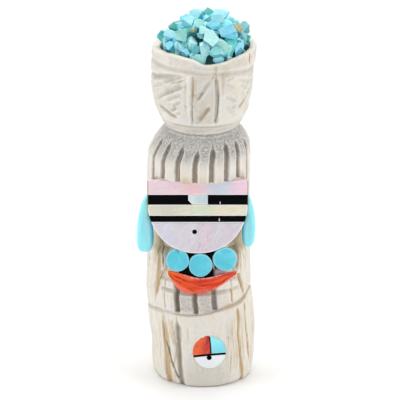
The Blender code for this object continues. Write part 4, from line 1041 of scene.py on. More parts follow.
def carve_dress(c, rng):
    """The shawl's edges, the hollows under the drops and the belt of blocks."""
    belt = eased(BELT, c.angle)
    left, right = eased(SHAWL_LEFT, c.height), eased(SHAWL_RIGHT, c.height)
    inside = blend(0.0, 3.2, c.angle - left) * blend(0.0, 3.2, right - c.angle)
    inside *= blend(belt, belt + 1.2, c.height) * (1.0 - blend(SHOULDER_TOP - 0.4, SHOULDER_TOP, c.height))
    blocks = 1.0 - blend(29.2, 29.9, c.height)
    bare = inside * (1.0 - blocks)
    c.lay("cut", inside * mix(1.05, 0.42, blocks))
    # Painted shade in the recessed chest inside the shawl.
    c.lay("soil", 0.3 * bare * (0.6 + 0.4 * lumps(c.round, (1.5, 1.5, 4.0), 31)))
    c.lay("raw", 0.42 * bare * (0.75 + 0.5 * lumps(c.round, (1.2, 1.2, 6.0), 32)))
    c.patches(DRESS_PATCHES)
    rough = 0.6 + 0.8 * lumps(c.round, (0.5, 0.5, 1.1), 33)
    patchy = 0.55 + 0.9 * lumps(c.round, (1.3, 1.3, 1.6), 40)
    hollow_left = c.box(-71.0, -34.0, 37.0, 51.0, 3.0, 1.0)
    hollow_right = c.box(38.0, 68.0, 37.0, 50.0, 4.0, 1.5)
    # Where the ridges' painted highlight is held back: the shaded hollows.
    c.shelter = np.maximum(hollow_left, 0.7 * hollow_right)
    c.lay("cut", 0.2 * hollow_left * lumps(c.round, (0.6, 0.6, 1.3), 34))
    # Painted shade in the hollow under the left drop.
    c.lay("soil", np.clip(hollow_left * (0.26 * rough + 0.24 * patchy), 0.0, 0.62))
    c.lay("raw", hollow_left * np.clip(0.75 - 0.3 * patchy, 0.2, 1.0))
    # Painted shade in the hollow under the right drop.
    c.lay("soil", np.clip(hollow_right * (0.1 + 0.26 * rough + 0.2 * patchy), 0.0, 0.6))
    c.lay("raw", 0.8 * hollow_right)
    fold = c.box(-62.0, -46.0, 33.0, 40.0, 3.0, 1.5) * (0.7 + 0.6 * lumps(c.round, (0.8, 0.8, 4.0), 35))
    c.lay("raw", 0.55 * fold)
    # Painted shade between the left arm and the left bead.
    c.lay("soil", 0.5 * c.box(-47.0, -34.0, 31.0, 38.0, 2.5, 1.5) * rough)
    c.lay("grey", 0.45 * c.spot(-54.0, 43.0, 3.4, 4.2))
    c.lay("soil", 0.6 * c.spot(41.0, 30.6, 0.35, 1.3))
    c.scratches(rng, 34, (-70.0, -36.0), (37.0, 50.0), (-5.0, 5.0), (-0.6, 1.6), (0.25, 0.5), 0.12,
                (0.35, 0.7))
    for cut in SHAWL_CRACKS:
        c.groove(*cut)
    c.scratches(rng, 22, (40.0, 66.0), (36.0, 49.0), (-3.0, 3.0), (0.5, 2.6), (0.25, 0.5), 0.12, (0.3, 0.6))
    for cut in DRESS_CUTS:
        c.groove(*cut)
    wide = 0.75 + 0.35 * blend(20.0, 70.0, c.angle)
    c.ring(belt, 1.7, 0.5, soil=0.4)
    c.ring(belt - 0.28, 0.5, 0.16, soil=0.62, within=(-26.0, 24.0), soft=14.0)
    c.ring(belt + 0.45, 0.4, 0.1, soil=0.45, raw=0.5, within=(-80.0, -52.0), soft=8.0)
    c.ring(belt + 0.1, 1.4, 0.2 * wide, soil=0.0, raw=0.5, within=(35.0, 95.0), soft=20.0)
    c.ring(SPLIT, 1.7, 0.55, soil=0.5, flat=0.4, within=(-44.0, 30.0), soft=5.0)
    c.ring(SPLIT, 1.5, 0.5, soil=0.34, flat=0.4, within=(31.0, 50.0), soft=2.0)
    for a, top, foot, width, depth, soil, lean in UPRIGHTS:
        path = (a - 0.3, top, a, mix(top, foot, 0.5), a + 0.5, foot)
        c.groove(path, width, depth, soil, 0.0, (0.04, 0.05), lean, 0.35)
    for cut in BELT_CUTS:
        c.groove(*cut)
    for a in BELT_HATCHED:
        for z in BELT_HATCHES:
            path = (a - 4.0, z, a + rng.uniform(2.0, 4.0), z + rng.uniform(-0.3, 0.3))
            c.groove(path, rng.uniform(0.35, 0.7), 0.1, 0.3)


def carve_skirt(c, rng):
    """The long cracks, drying grooves and rubbed ridges of the skirt, and the back's grain above it."""
    c.lay("cut", 0.35 * c.box(-44.5, -25.5, -1.0, 20.4, 1.2, 0.5))
    for cut in SKIRT_CUTS:
        c.groove(*cut)
    c.lay("raw", 0.62 * c.spot(37.5, 11.5, 5.0, 13.0) * (0.7 + 0.5 * lumps(c.round, (0.7, 0.7, 4.0), 12)))
    c.lay("soil", 0.55 * c.spot(30.2, 13.9, 0.4, 0.8))
    c.lay("soil", 0.3 * c.spot(29.5, 17.6, 0.35, 1.6))
    for place in SKIRT_CHIPS:
        chip = c.spot(*place)
        c.lay("cut", 0.5 * chip * (0.8 + 0.5 * lumps(c.round, (0.7, 0.7, 0.5), 43)))
        c.lay("raw", 0.45 * chip)
    low_front = c.box(-24.0, 38.0, -2.0, 9.0, 8.0, 6.0)
    c.lay("soil", low_front * (0.13 + 0.1 * lumps(c.round, (1.2, 1.2, 3.0), 42)))
    c.lay("grey", 0.3 * low_front + 0.14 * c.box(-20.0, 34.0, -2.0, 20.0, 6.0, 2.0))
    for _ in range(110):
        a = rng.uniform(-180, 180)
        if -21.0 < a < 27.0 and rng.random() < 0.7:
            continue
        low = rng.uniform(-1.0, 9.0)
        high = min(low + rng.uniform(9.0, 21.0), float(eased(BELT, a)) - 0.3)
        drift, bend = rng.uniform(-1.6, 1.6), rng.uniform(-0.8, 0.8)
        path = []
        for s in (0.0, 0.25, 0.5, 0.75, 1.0):
            path += [a + drift * s + bend * math.sin(7.0 * s), mix(low, high, s)]
        width, depth, soil = rng.uniform(0.22, 0.75), rng.uniform(0.05, 0.25), rng.uniform(0.05, 0.4)
        c.groove(path, width, depth, soil, rng.uniform(0.0, 0.6), (0.4, 0.4))
    for _ in range(80):
        a, low = rng.choice((-1, 1)) * rng.uniform(52, 180), rng.uniform(22.5, 34.0)
        path = []
        for k in range(4):
            path += [a + rng.uniform(-0.8, 0.8), low + rng.uniform(4.0, 5.5) * k]
        width, depth, soil = rng.uniform(0.22, 0.7), rng.uniform(0.05, 0.2), rng.uniform(0.0, 0.35)
        c.groove(path, width, depth, soil, rng.uniform(0.0, 0.55), (0.4, 0.4))
    c.scratches(rng, 60, (62, 298), (45.0, 60.0), (-1, 1), (3.0, 8.0), (0.25, 0.6), (0.04, 0.12),
                (0.05, 0.25), (0.0, 0.4))


def flat_radius(c):
    """How far out the antler reaches where it is cut flat behind the face and the crescent."""
    back = PLATE_TOP.y + (PLATE_THICK + (c.height - PLATE_TOP.z) * math.sin(LEAN)) / math.cos(LEAN)
    facing = np.cos(np.radians(c.angle))
    reach = np.where(facing > 0.15, -back / (DEPTH * np.maximum(facing, 0.15)), 1e3)
    x = middle(c.height) + np.minimum(reach, 14.0) * np.sin(np.radians(c.angle))
    drop = (PLATE_TOP.z - c.height) / math.cos(LEAN) + PLATE_THICK * math.tan(LEAN)
    foot = np.interp(x, *zip(*[(x0, low) for x0, _, low in coral_stations(24)])) - 0.5
    return np.where((c.height < hair_edge(c.angle) - EDGE_STEP) & (drop < foot), reach, 1e3)


def weathered(c, settings, sides):
    """The depth taken off in all: the knife's cuts, the inset face, ridges, pores and the sun's seat."""
    wear = settings.weathering
    head = blend(SHOULDER_LOW, SHOULDER_TOP, c.height) * (c.height < hair_edge(c.angle) - EDGE_STEP)
    depth = settings.relief * c.cut + NECK_INSET * head
    belt = eased(BELT, c.angle)
    skirt = (1.0 - blend(belt - 1.0, belt, c.height)) * sides
    for amount, size, seed in (
            (0.24 * skirt, (1.3, 1.3, 16.0), 21), (0.1 * skirt, (0.5, 0.5, 7.0), 27),
            (0.1, (4.0, 4.0, 9.0), 22), (0.05, (1.0, 1.0, 2.6), 23), (0.025 + 0.08 * c.grey, 0.55, 24)):
        depth += wear * amount * lumps(c.round, size, seed)
    foot = 1.0 - blend(0.0, 2.0, c.height)
    depth += wear * 0.22 * foot * np.maximum(lumps(c.round, 1.6, 25), 0.0)
    seat = np.hypot(c.across(SUN_ANGLE) / (SUN_WIDE - 0.1), (c.height - SUN_HEIGHT) / (SUN_TALL - 0.1))
    return np.where(seat < 1.0, SEAT_DEPTH, depth)


def cup_rings(top, angle, ragged):
    """Rings over the rim from the outside's last one, down the cup and over its floor."""
    turn, rim = np.radians(angle), eased(RIM, angle)

    def ring(radius, height):
        return np.stack([CUP_MIDDLE + radius * np.sin(turn), -radius * np.cos(turn), height], -1)

    inner = ring(CUP_RADIUS + 0.12 * ragged, rim)
    rings = []
    for share, below in RIM_ROUNDING:
        over = mix(top, inner, share)
        over[:, 2] = rim - below + 0.08 * ragged
        rings.append(over)
    for i in range(1, 10):
        radius = mix(CUP_RADIUS, CUP_FLOOR_RADIUS, (i / 9.0) ** 1.5)
        rings.append(ring(radius, mix(rim - 0.6, CUP_FLOOR, i / 9.0)))
    rings += [ring(CUP_FLOOR_RADIUS * share, rings[-1][:, 2]) for share in (0.7, 0.35)]
    return rings


def make_antler(settings):
    rng = np.random.default_rng(settings.seed)
    angle = column_angles()
    rows = row_heights(angle)
    c = Carving(np.tile(angle, (len(rows), 1)), rows)
    for carve in (carve_jar, carve_hair, carve_dress, carve_skirt):
        carve(c, rng)
    # Painted shade, with dirt, in hollows that lie deeper than their surroundings; on the ridges a painted
    # highlight with rubbing, held back in the shaded hollows under the drops.
    hollow = c.cut - smooth(c.cut, 2)
    c.lay("soil", np.clip(2.2 * hollow, 0.0, 0.4))
    c.worn = np.clip(-9.0 * hollow, 0.0, 0.8) * (c.height < 90.5) * (1.0 - 0.9 * c.shelter) * (1.0 - c.soil)
    sides = 0.35 + 0.65 * blend(18.0, 60.0, np.abs(c.angle - 4.0))
    c.fibre = np.where(c.height > FIBRE_TOP, 0.15, 0.85 * sides + 0.15)
    outward = np.minimum(c.radius - weathered(c, settings, sides), flat_radius(c))
    turn = np.radians(c.angle)
    across, back = middle(c.height) + outward * np.sin(turn), -DEPTH * outward * np.cos(turn)
    grid = np.stack([across, back, c.height], -1)
    over = cup_rings(grid[-1], angle, lumps(c.round[-1], 1.4, 26))
    centre = np.array([middle(0.0), 0.0, 0.0])
    under = []
    for share in UNDERSIDE:
        ring = centre + (grid[0] - centre) * share
        ring[:, 2] = 0.04 * (1.0 - share)
        under.append(ring)
    points, faces = skin(under + list(grid) + over, False, False)
    width, count = len(angle), len(points)
    points += [centre + (0.0, 0.0, 0.05), (CUP_MIDDLE, 0.0, CUP_FLOOR)]
    faces += [(count, (i + 1) % width, i) for i in range(width)]
    faces += [(count + 1, count - width + i, count - width + (i + 1) % width) for i in range(width)]
    masks = {}
    for layer in MASKS:
        below, above = UNDERSIDE_LOOK.get(layer, (0.0,) * len(under)), CUP_LOOK.get(layer, 0.0)
        parts = [np.full(width, v) for v in below] + list(getattr(c, layer))
        masks[layer] = np.concatenate(parts + [np.full(width, above)] * len(over) + [[below[0], above]])
    piece("carved_antler", points, faces, antler_finish(settings), "antler_body", "antler", None, masks)


# ================================================================ the face
def chin_edge(top, steps=36):
    """The chin's outline from its straight top edge round the curve."""
    start = math.acos(min((top - CHIN_FROM) / CHIN_DROP, 1.0) ** (CHIN_ROUNDNESS / 2.0))
    points = []
    for i in range(2 * steps + 1):
        turn = mix(-start, start, i / (2 * steps))
        share = 2.0 / CHIN_ROUNDNESS
        across = math.copysign(abs(math.sin(turn)) ** share, turn)
        points.append((PLATE_MIDDLE + PLATE_HALF * across, CHIN_FROM + CHIN_DROP * math.cos(turn) ** share))
    return points


def plate_half(drop):
    if drop <= CHIN_FROM:
        return PLATE_HALF
    share = min((drop - CHIN_FROM) / CHIN_DROP, 1.0)
    return PLATE_HALF * (1.0 - share**CHIN_ROUNDNESS) ** (1.0 / CHIN_ROUNDNESS)


def band(top, bottom, steps=6):
    drops = [mix(top, bottom, i / (steps - 1)) for i in range(steps)]
    left = [(PLATE_MIDDLE - plate_half(d), d) for d in drops]
    right = [(PLATE_MIDDLE + plate_half(d), d) for d in reversed(drops)]
    near_top, near_bottom = plate_half(top) - END_WIDTH, plate_half(bottom) - END_WIDTH
    foot = [(PLATE_MIDDLE - near_bottom, bottom), (PLATE_MIDDLE + near_bottom, bottom)]
    return left + foot + right + [(PLATE_MIDDLE + near_top, top), (PLATE_MIDDLE - near_top, top)]


def round_outline(x, y, across, up, steps=48):
    turns = [2.0 * math.pi * i / steps for i in range(steps)]
    return [(x + across * math.cos(t), y + up * math.sin(t)) for t in turns]


def plate(name, outline, material, node, slot, bevel, back=-PLATE_THICK, front=0.0):
    """One plate of the face. Its top edge is plain at the hair, and its ends have a line of filler."""
    points, faces, edge = slab(plate_point, outline, back, front, bevel)
    out_at = [abs(abs(p.x - PLATE_MIDDLE) - PLATE_HALF) for p in points]
    # The pale ground edge and its painted highlight, left off along the top at the hair; the filler at the
    # ends.
    found = {
        "edge": [0.0 if p.z > PLATE_TOP.z - 1.0 else e for p, e in zip(points, edge)],
        "end": [1.0 if e > 0.5 and away < 0.2 else 0.0 for e, away in zip(edge, out_at)],
    }
    piece(name, points, faces, material, node, slot, 30, found)


# mother-of-pearl: name, patches as (middle along X, reach, colour, strength), streaks, sheen and so on
SHELLS = {
    "pink": ("pink mother-of-pearl", (
        (-1.8, 5.0, paint(250, 205, 209), 0.7), (4.9, 6.4, paint(207, 224, 237), 0.9),
        (11.5, 5.5, paint(248, 212, 234), 0.75), (-10.0, 5.5, paint(238, 214, 224), 0.6)),
        paint(236, 194, 216), paint(248, 228, 234)),
    "gold": ("gold-lip shell", (
        (0.6, 3.8, paint(216, 234, 204), 0.8), (7.0, 5.0, paint(240, 230, 208), 0.9),
        (-8.5, 5.4, paint(210, 210, 196), 0.8)), paint(210, 208, 180), paint(242, 240, 220)),
    "lilac": ("lilac mother-of-pearl", (
        (1.6, 3.0, paint(230, 210, 219), 0.7), (-3.4, 2.6, paint(221, 215, 226), 0.5),
        (7.0, 3.0, paint(218, 206, 217), 0.6), (-8.5, 4.0, paint(218, 220, 234), 0.8)),
        paint(206, 188, 198), paint(238, 230, 238), 0.95, (0.8, 3.2)),
    "white": ("white mother-of-pearl", (), paint(196, 222, 224), paint(240, 244, 246)),
    "glass": ("blue-white mother-of-pearl", (
        (-2.4, 1.3, paint(232, 244, 242), 0.8), (1.6, 1.2, paint(196, 222, 232), 0.7)),
        paint(184, 208, 216), paint(222, 238, 238), 0.9),
}


def make_face(settings, jet, shells):
    bevel = settings.bevel / MM
    top, bottom = JOINTS[1] + SEAM, JOINTS[2] - SEAM
    outer = band(top, bottom)
    ends = (len(outer) - 4) // 2
    nose_left, nose_right = NOSE_LEFT - SEAM, NOSE_RIGHT + SEAM
    cut = bottom - NOSE_CUT
    left = outer[:ends + 1] + [(nose_left + NOSE_CUT, bottom), (nose_left, cut), (nose_left, top)]
    right = [(nose_right, top), (nose_right, bottom)] + outer[ends + 1:-1]
    nose = [(NOSE_LEFT + SEAM, top), (NOSE_LEFT + SEAM, cut),
            (NOSE_LEFT + NOSE_CUT + SEAM, bottom), (NOSE_RIGHT - SEAM, bottom), (NOSE_RIGHT - SEAM, top)]
    forehead, cheek = band(JOINTS[0], JOINTS[1] - SEAM), band(JOINTS[2] + SEAM, JOINTS[3] - SEAM)
    for name, outline, material, node, slot in (
            ("forehead_shell", forehead, shells["pink"], "face_forehead", "pink_shell"),
            ("cheek_shell", cheek, shells["gold"], "face_cheek_band", "gold_shell"),
            ("lip_bar", band(JOINTS[3] + SEAM, JOINTS[4] - SEAM), jet, "face_lip_bar", "jet"),
            ("brow_bar_left", left + outer[-1:], jet, "face_brow_left", "jet"),
            ("brow_bar_right", right, jet, "face_brow_right", "jet"),
            ("nose_shell", nose, shells["glass"], "face_nose", "white_shell")):
        plate(name, outline, material, node, slot, bevel)
    plate("chin_shell", chin_edge(JOINTS[4] + SEAM), shells["lilac"], "face_chin", "pink_shell", bevel * 1.4)
    dot = round_outline(*MOUTH, MOUTH_RADIUS, MOUTH_RADIUS)
    plate("mouth_dot", dot, jet, "face_mouth", "jet", 0.06, -1.2, 0.04)


# ================================================================ earrings, necklace, crescent
def make_earring(side, turquoise):
    """A long drop, ground in flat facets, with a blunt foot and a narrow top."""
    table = EARRINGS[side]
    rings, shade, gleam = [], [], []
    steps, around = 56, 40
    for i in range(steps):
        down = mix(table[0][0], table[-1][0], 0.5 - 0.5 * math.cos(math.pi * i / (steps - 1)))
        outer, inner = (float(eased([(row[0], row[k]) for row in table], down)) for k in (1, 2))
        root = (abs(outer - inner) / EARRING_WIDE) ** 0.5
        creased, gleams = blend(5.0, 9.0, down) * blend(19.0, 15.5, down), blend(19.0, 15.0, down)
        ring = []
        for k in range(around):
            t = 2.0 * math.pi * k / around
            across, out = (math.copysign(abs(c) ** 0.8, c) for c in (math.cos(t), math.sin(t)))
            facet = 0.12 * math.cos(3.0 * t + 0.25 * down)
            out = EARRING_BACK + (EARRING_HALF + facet) * root * out
            ring.append(plate_point(mix(inner, outer, 0.5 + 0.5 * across), down, out))
            crease = math.exp(-((across + 0.95) / 0.26) ** 2) * float(creased)
            shade.append(min(crease + 0.3 * float(blend(-0.1, -1.0, across)), 1.0))
            gleam.append(math.exp(-((across - 0.05 + 0.03 * down) / 0.2) ** 2) * float(gleams))
        rings.append(ring)
    points, faces = skin(rings)
    masks = {"shade": shade, "gleam": gleam, "ground": [1.0] * len(points)}
    piece(f"earring_drop_{side}", points, facing_out(points, faces), turquoise, f"earring_{side}",
          "turquoise", 60, masks)


def free_of_chin(x, drop, reach, turn):
    """How far a disc reaches from its middle before it meets the chin's edge."""
    while reach > 0.5:
        px, pd = x + reach * math.cos(turn), drop + reach * math.sin(turn)
        across, down = abs(px - PLATE_MIDDLE) / PLATE_HALF, (pd - CHIN_FROM) / CHIN_DROP
        if down > 0.0 and across**CHIN_ROUNDNESS + down**CHIN_ROUNDNESS > 1.012:
            break
        reach -= 0.02
    return reach


def make_necklace(turquoise, bed):
    turns = [2.0 * math.pi * i / 72 for i in range(72)]
    for k, (side, (x, drop, radius)) in enumerate(DISCS.items()):
        uneven = [1.0 + 0.012 * math.sin(3 * t + 2 * k) + 0.008 * math.sin(5 * t + k) for t in turns]
        reach = [free_of_chin(x, drop, radius * share, t) for t, share in zip(turns, uneven)]
        rings, edge, spot = [], [], []
        for share, out, rim in BEAD_DOME:
            rings.append([plate_point(x + r * share * math.cos(t), drop + r * share * math.sin(t), out)
                          for r, t in zip(reach, turns)])
            # The rim's painted highlight.
            edge += [rim] * len(turns)
            spot += [1.0 if side == "left" and share > 0.8 and abs(t - 4.75) < 0.22 else 0.0 for t in turns]
        points, faces = skin(rings)
        piece(f"necklace_bead_{side}", points, facing_out(points, faces), turquoise, f"necklace_disc_{side}",
              "turquoise", 50, {"edge": edge, "spot": spot})
    left, right = DISCS["left"], DISCS["right"]
    outline = [(left[0] + 1.0, left[1] - 2.6), (left[0] - 2.2, left[1])]
    outline += [(x, top + 0.1) for x, top, _ in coral_stations(18)[3:-3]]
    outline += [(right[0] + 2.2, right[1]), (right[0] - 1.0, right[1] - 2.2)]
    outline.append((PLATE_TOP.x, CHIN_FROM + CHIN_DROP - 0.6))
    levels = (-PLATE_THICK, -0.75, -0.7)
    points, faces = skin([[plate_point(x, d, out) for x, d in outline] for out in levels])
    piece("necklace_bed", points, facing_out(points, faces), bed, "necklace_backing", "jet", 30)


def coral_stations(steps):
    """(x, upper drop, lower drop) along the crescent."""
    found = []
    centre, half = sum(CORAL_TIPS) / 2.0, (CORAL_TIPS[1] - CORAL_TIPS[0]) / 2.0
    for i in range(steps + 1):
        x = mix(CORAL_TIPS[0], CORAL_TIPS[1], i / steps)
        upper = CORAL_TOP + CORAL_SAG * (1.0 - ((x - centre) / half) ** 2) ** 2
        left = x < CORAL_LOWEST
        away = (x - CORAL_LOWEST) / (CORAL_TIPS[0 if left else 1] - CORAL_LOWEST)
        lower = CORAL_TOP + CORAL_END + CORAL_DEPTH * (1.0 - away ** CORAL_POWERS[0 if left else 1])
        found.append((x, upper, lower))
    return found


def make_crescent(coral):
    """The crescent: a hollowed upper facet, a ridge, and a steep lower facet with a chipped edge."""
    rings, masks = [], {key: [] for key in ("light", "edge", "across", "glow", "dusk")}
    for x, upper, lower in coral_stations(100):
        wide = lower - upper
        rise = 0.9 * min(wide / 3.6, 1.0)
        nick = 0.1 * math.sin(6.1 * x + 1.0) + 0.07 * math.sin(11.3 * x)
        ragged = 0.04 * math.sin(2.3 * x) + nick * math.exp(-((x - 0.6) / 2.2) ** 2)
        ridge = 0.36 + 0.05 * math.sin(0.9 * x + 0.6)
        # share from the lower edge to the upper, height over the plate's face, painted light on the lower
        # facet, painted highlight along the edges
        undercut = 1.0 - 0.42 / wide
        span = [(1.0, -0.6, 0, 0), (undercut, -PLATE_THICK, 0, 0), (0.0, -PLATE_THICK, 0, 0)]
        span += [(0.0, -1.05, 1, 0.4), (0.03, -0.8, 1, 0.3)]
        span += [(s, mix(-0.65, rise, (s / ridge) ** 0.8), 1, 0) for s in (0.12, 0.22)]
        span += [(ridge - 0.03, rise, 0.8, 0), (ridge + 0.04, rise - 0.03, 0.15, 0)]
        hollow = [mix(ridge, 1.0, s) for s in (0.3, 0.55, 0.8)]
        span += [(s, mix(rise, -0.2, (s - ridge) / (1.0 - ridge)) - 0.16 * rise, 0, 0) for s in hollow]
        # The painted highlight along the upper edge fades out towards the left end.
        pale = float(blend(-6.5, -1.5, x))
        span += [(0.965, -0.2, 0, 0.8 * pale), (0.985, -0.28, 0, pale), (1.0, -0.42, 0, pale)]
        # Painted shade in the hollowed upper facet, strongest near the middle.
        orange, deep = float(blend(0.5, -6.5, x)), 0.8 * math.exp(-(((x - 1.2) / 3.6) ** 2))
        ring = []
        for s, out, light, edge in span:
            ring.append(plate_point(x, mix(lower + ragged * (1.0 - s), upper, s), out))
            dusk = deep * float(blend(0.98, 0.8, s) * blend(ridge, 0.6, s))
            found = (light, edge, 1.0 - s, orange * (1.0 - light * 0.5), dusk)
            for values, value in zip(masks.values(), found):
                values.append(value)
        rings.append(ring)
    points, faces = skin(rings)
    away = lumps(np.array(points), (1.6, 1.6, 0.9), 41)
    points = [p + PLATE_OUT * 0.09 * float(n) for p, n in zip(points, away)]
    piece("coral_necklet", points, facing_out(points, faces), coral, "coral_crescent", "coral", 34, masks)


# ================================================================ the sun
def bar_line(x):
    """Height of the bar's middle over the sun's: it dips a little towards both ends."""
    return -SUN_BAR_DROP + SUN_BAR_SLOPE * x - SUN_BAR_BOW * (x / SUN_WIDE) ** 2


def rim_line(x):
    return SUN_TALL * math.sqrt(max(1.0 - (x / SUN_WIDE) ** 2, 0.0))


def sun_stations(start, end, low, high, steps=30):
    found = []
    for i in range(steps + 1):
        x = mix(start, end, 0.5 - 0.5 * math.cos(math.pi * i / steps))
        below, above = low(x), high(x)
        found.append((x, below, max(above, below + 0.03)))
    return found


def make_sun(turquoise, coral, jet, white):
    gap, bar = 0.03, SUN_BAR_HALF
    reach = SUN_WIDE * 0.985
    left, right = SUN_DIVIDER - SUN_DIVIDER_HALF, SUN_DIVIDER + SUN_DIVIDER_HALF
    over, under = (lambda x: bar_line(x) + bar + gap), (lambda x: bar_line(x) - bar - gap)
    pieces = (
        ("sun_red_quarter", "sun_coral_quarter", "coral", coral,
         sun_stations(-reach, left - gap, over, rim_line), 0.06),
        ("sun_blue_quarter", "sun_turquoise_quarter", "turquoise", turquoise,
         sun_stations(right + gap, reach, over, rim_line), 0.06),
        ("sun_white_half", "sun_shell_half", "white_shell", white,
         sun_stations(-reach, reach, lambda x: -rim_line(x), under), 0.05),
        ("sun_bar_jet", "sun_bar", "jet", jet,
         sun_stations(-reach, reach, lambda x: bar_line(x) - bar, lambda x: bar_line(x) + bar), 0.07),
        ("sun_divider_jet", "sun_divider", "jet", jet, sun_stations(left, right, over, rim_line, 4), 0.05),
    )
    for name, node, slot, material, stations, front in pieces:
        points, faces = ribbon(sun_point, stations, -1.0, front, 0.05)
        at = [(p.x, p.z - SUN_HEIGHT) for p in points]
        masks = {}
        if slot == "coral":
            masks["across"] = [0.04 * up - 0.07 * x for x, up in at]
            masks["glow"] = [float(blend(1.4, -1.6, x - 1.2)) for x, _ in at]
            masks["dusk"] = [0.9 * float(blend(4.2, 1.2, up) * blend(-1.8, 0.6, x - 1.2)) for x, up in at]
        if slot == "turquoise":
            masks["shade"] = [0.4 * float(blend(3.4, 0.0, up)) for _, up in at]
        piece(name, points, faces, material, node, slot, 35, masks)
    dot = round_outline(*SUN_DOT, SUN_DOT_RADIUS, SUN_DOT_RADIUS)
    points, faces, _ = slab(sun_point, dot, -0.5, 0.13, 0.06)
    piece("sun_dot_jet", points, faces, jet, "sun_dot", "jet", 35)


# ================================================================ the chips
def heap_top(x, y):
    """Height of the heap's surface over the cup."""
    dx, dy = x - HEAP_PEAK[0], y - HEAP_PEAK[1]
    away = math.hypot(dx, dy)
    if away < 1e-6:
        return HEAP_LOW + HEAP_RISE
    ux, uy = dx / away, dy / away
    ox, oy = HEAP_PEAK[0] - CUP_MIDDLE, HEAP_PEAK[1]
    b = ox * ux + oy * uy
    reach = -b + math.sqrt(b * b - (ox * ox + oy * oy) + (CUP_RADIUS + 0.2) ** 2)
    return HEAP_LOW + HEAP_RISE * (1.0 - min(away / reach, 1.0) ** HEAP_POWER)


def chip_places(rng, count, radius):
    """Middles and half sizes of chips that lie against each other just under the heap's surface."""
    places = [(x, y, heap_top(x, y) + lift - 0.6 * min(wide, tall)) for x, y, lift, wide, tall, *_ in SHOWN]
    sizes = [0.5 * (wide + tall) for _, _, _, wide, tall, *_ in SHOWN]
    held = len(places)
    for _ in range(count):
        turn, away = rng.uniform(0.0, 2.0 * math.pi), (CUP_RADIUS - 1.2) * math.sqrt(rng.random())
        x, y = CUP_MIDDLE + away * math.cos(turn), away * math.sin(turn)
        sizes.append(radius * rng.choice((0.45, 0.6, 0.8, 1.0, 1.15)))
        places.append((x, y, heap_top(x, y) - rng.uniform(0.4, 3.4)))
    for _ in range(46):
        turn, away = math.radians(rng.uniform(-100.0, 100.0)), CUP_RADIUS - rng.uniform(0.6, 2.0)
        x, y = CUP_MIDDLE + away * math.sin(turn), -away * math.cos(turn)
        sizes.append(rng.uniform(0.5, 1.0))
        places.append((x, y, HEAP_LOW + rng.uniform(-2.6, -0.5)))
    places, sizes = np.array(places), np.array(sizes)
    start = places[:held].copy()
    for _ in range(90):
        apart = places[:, None] - places[None]
        length = np.linalg.norm(apart, axis=-1) + np.eye(len(places))
        want = 0.8 * (sizes[:, None] + sizes[None])
        push = np.clip(want - length, 0.0, None) * (1.0 - np.eye(len(places)))
        moved = places + 0.25 * (apart / length[..., None] * push[..., None]).sum(1)
        places[:held] = start + np.clip(mix(places[:held], moved[:held], 0.3) - start, -0.75, 0.75)
        places[held:] = moved[held:]
        for i in range(held, len(places)):
            x, y, z = places[i]
            away = math.hypot(x - CUP_MIDDLE, y)
            limit = CUP_RADIUS - 0.85 * sizes[i]
            if away > limit:
                x, y = CUP_MIDDLE + (x - CUP_MIDDLE) * limit / away, y * limit / away
            top = heap_top(x, y) - 0.85 * sizes[i] - 0.45
            places[i] = (x, y, min(max(z, top - 3.6), top))
    return places, sizes


def shard(rng, half, turn):
    """A broken bit of stone: two uneven flat faces, joined by short sides whose edges are bevelled a little.
    It gives each face a painted light by the way it faces, and marks the bevels for a painted highlight.
    """
    bm = bmesh.new()
    corners = int(rng.choice((3, 4, 4, 5, 5, 6)))
    start = rng.uniform(0.0, math.pi)
    slope = rng.uniform(-0.35, 0.35, 2)
    for side, least, most in ((-1.0, 0.82, 1.18), (1.0, 0.5, 1.1)):
        for k in range(corners):
            t = start + 2.0 * math.pi * (k + rng.uniform(-0.32, 0.32)) / corners
            x, z = (share * rng.uniform(least, most) for share in (math.cos(t), math.sin(t)))
            bm.verts.new((x, side * rng.uniform(0.75, 0.85) + slope[0] * x + slope[1] * z, z))
    for _ in range(3):
        t = rng.uniform(0.0, 2.0 * math.pi)
        bm.verts.new((1.12 * math.cos(t), rng.uniform(-0.3, 0.5), 1.12 * math.sin(t)))
    hull = bmesh.ops.convex_hull(bm, input=bm.verts)
    spare = [v for v in hull["geom_interior"] + hull["geom_unused"] if isinstance(v, bmesh.types.BMVert)]
    bmesh.ops.delete(bm, geom=list(dict.fromkeys(spare)), context="VERTS")  # each once, in a fixed order
    bmesh.ops.scale(bm, vec=half, verts=bm.verts)
    bmesh.ops.dissolve_limit(bm, angle_limit=math.radians(18.0), verts=bm.verts, edges=bm.edges)
    worn = bmesh.ops.bevel(bm, geom=bm.edges[:], offset=0.055, segments=1, affect="EDGES", clamp_overlap=True)
    which = bm.faces.layers.int.new("which")
    # The bevel faces, which get a painted highlight.
    rims = set(worn["faces"])
    bmesh.ops.recalc_face_normals(bm, faces=bm.faces)
    bmesh.ops.rotate(bm, cent=(0.0, 0.0, 0.0), matrix=turn, verts=bm.verts)
    bm.normal_update()
    whole = []
    for i, face in enumerate(bm.faces):
        face[which] = i
        # Painted light: faces that look up are lighter and those that look down darker, varied at random.
        light = 0.45 + 0.5 * face.normal.z + rng.uniform(-0.3, 0.3)
        whole.append((1.0 if face in rims else 0.0, float(np.clip(light, 0.0, 1.0))))
    bmesh.ops.triangulate(bm, faces=bm.faces)
    for _ in range(2):
        long = [e for e in bm.edges if e.calc_length() > CHIP_GRAIN]
        if long:
            bmesh.ops.subdivide_edges(bm, edges=long, cuts=1, use_grid_fill=True)
    bmesh.ops.triangulate(bm, faces=bm.faces)
    bm.verts.index_update()
    bm.normal_update()
    co = np.array([v.co for v in bm.verts]) + rng.uniform(0.0, 50.0, 3)
    shift = 0.13 * lumps(co, 1.5, 62) + 0.07 * lumps(co, 0.7, 63)
    points = [v.co + v.normal * float(n) for v, n in zip(bm.verts, shift)]
    # sorted, because the triangles come in another order from run to run
    sides = sorted((tuple(v.index for v in f.verts), f[which]) for f in bm.faces)
    faces = [side for side, _ in sides]
    rim, facet = zip(*[whole[i] for _, i in sides])
    bm.free()
    return points, faces, rim, facet


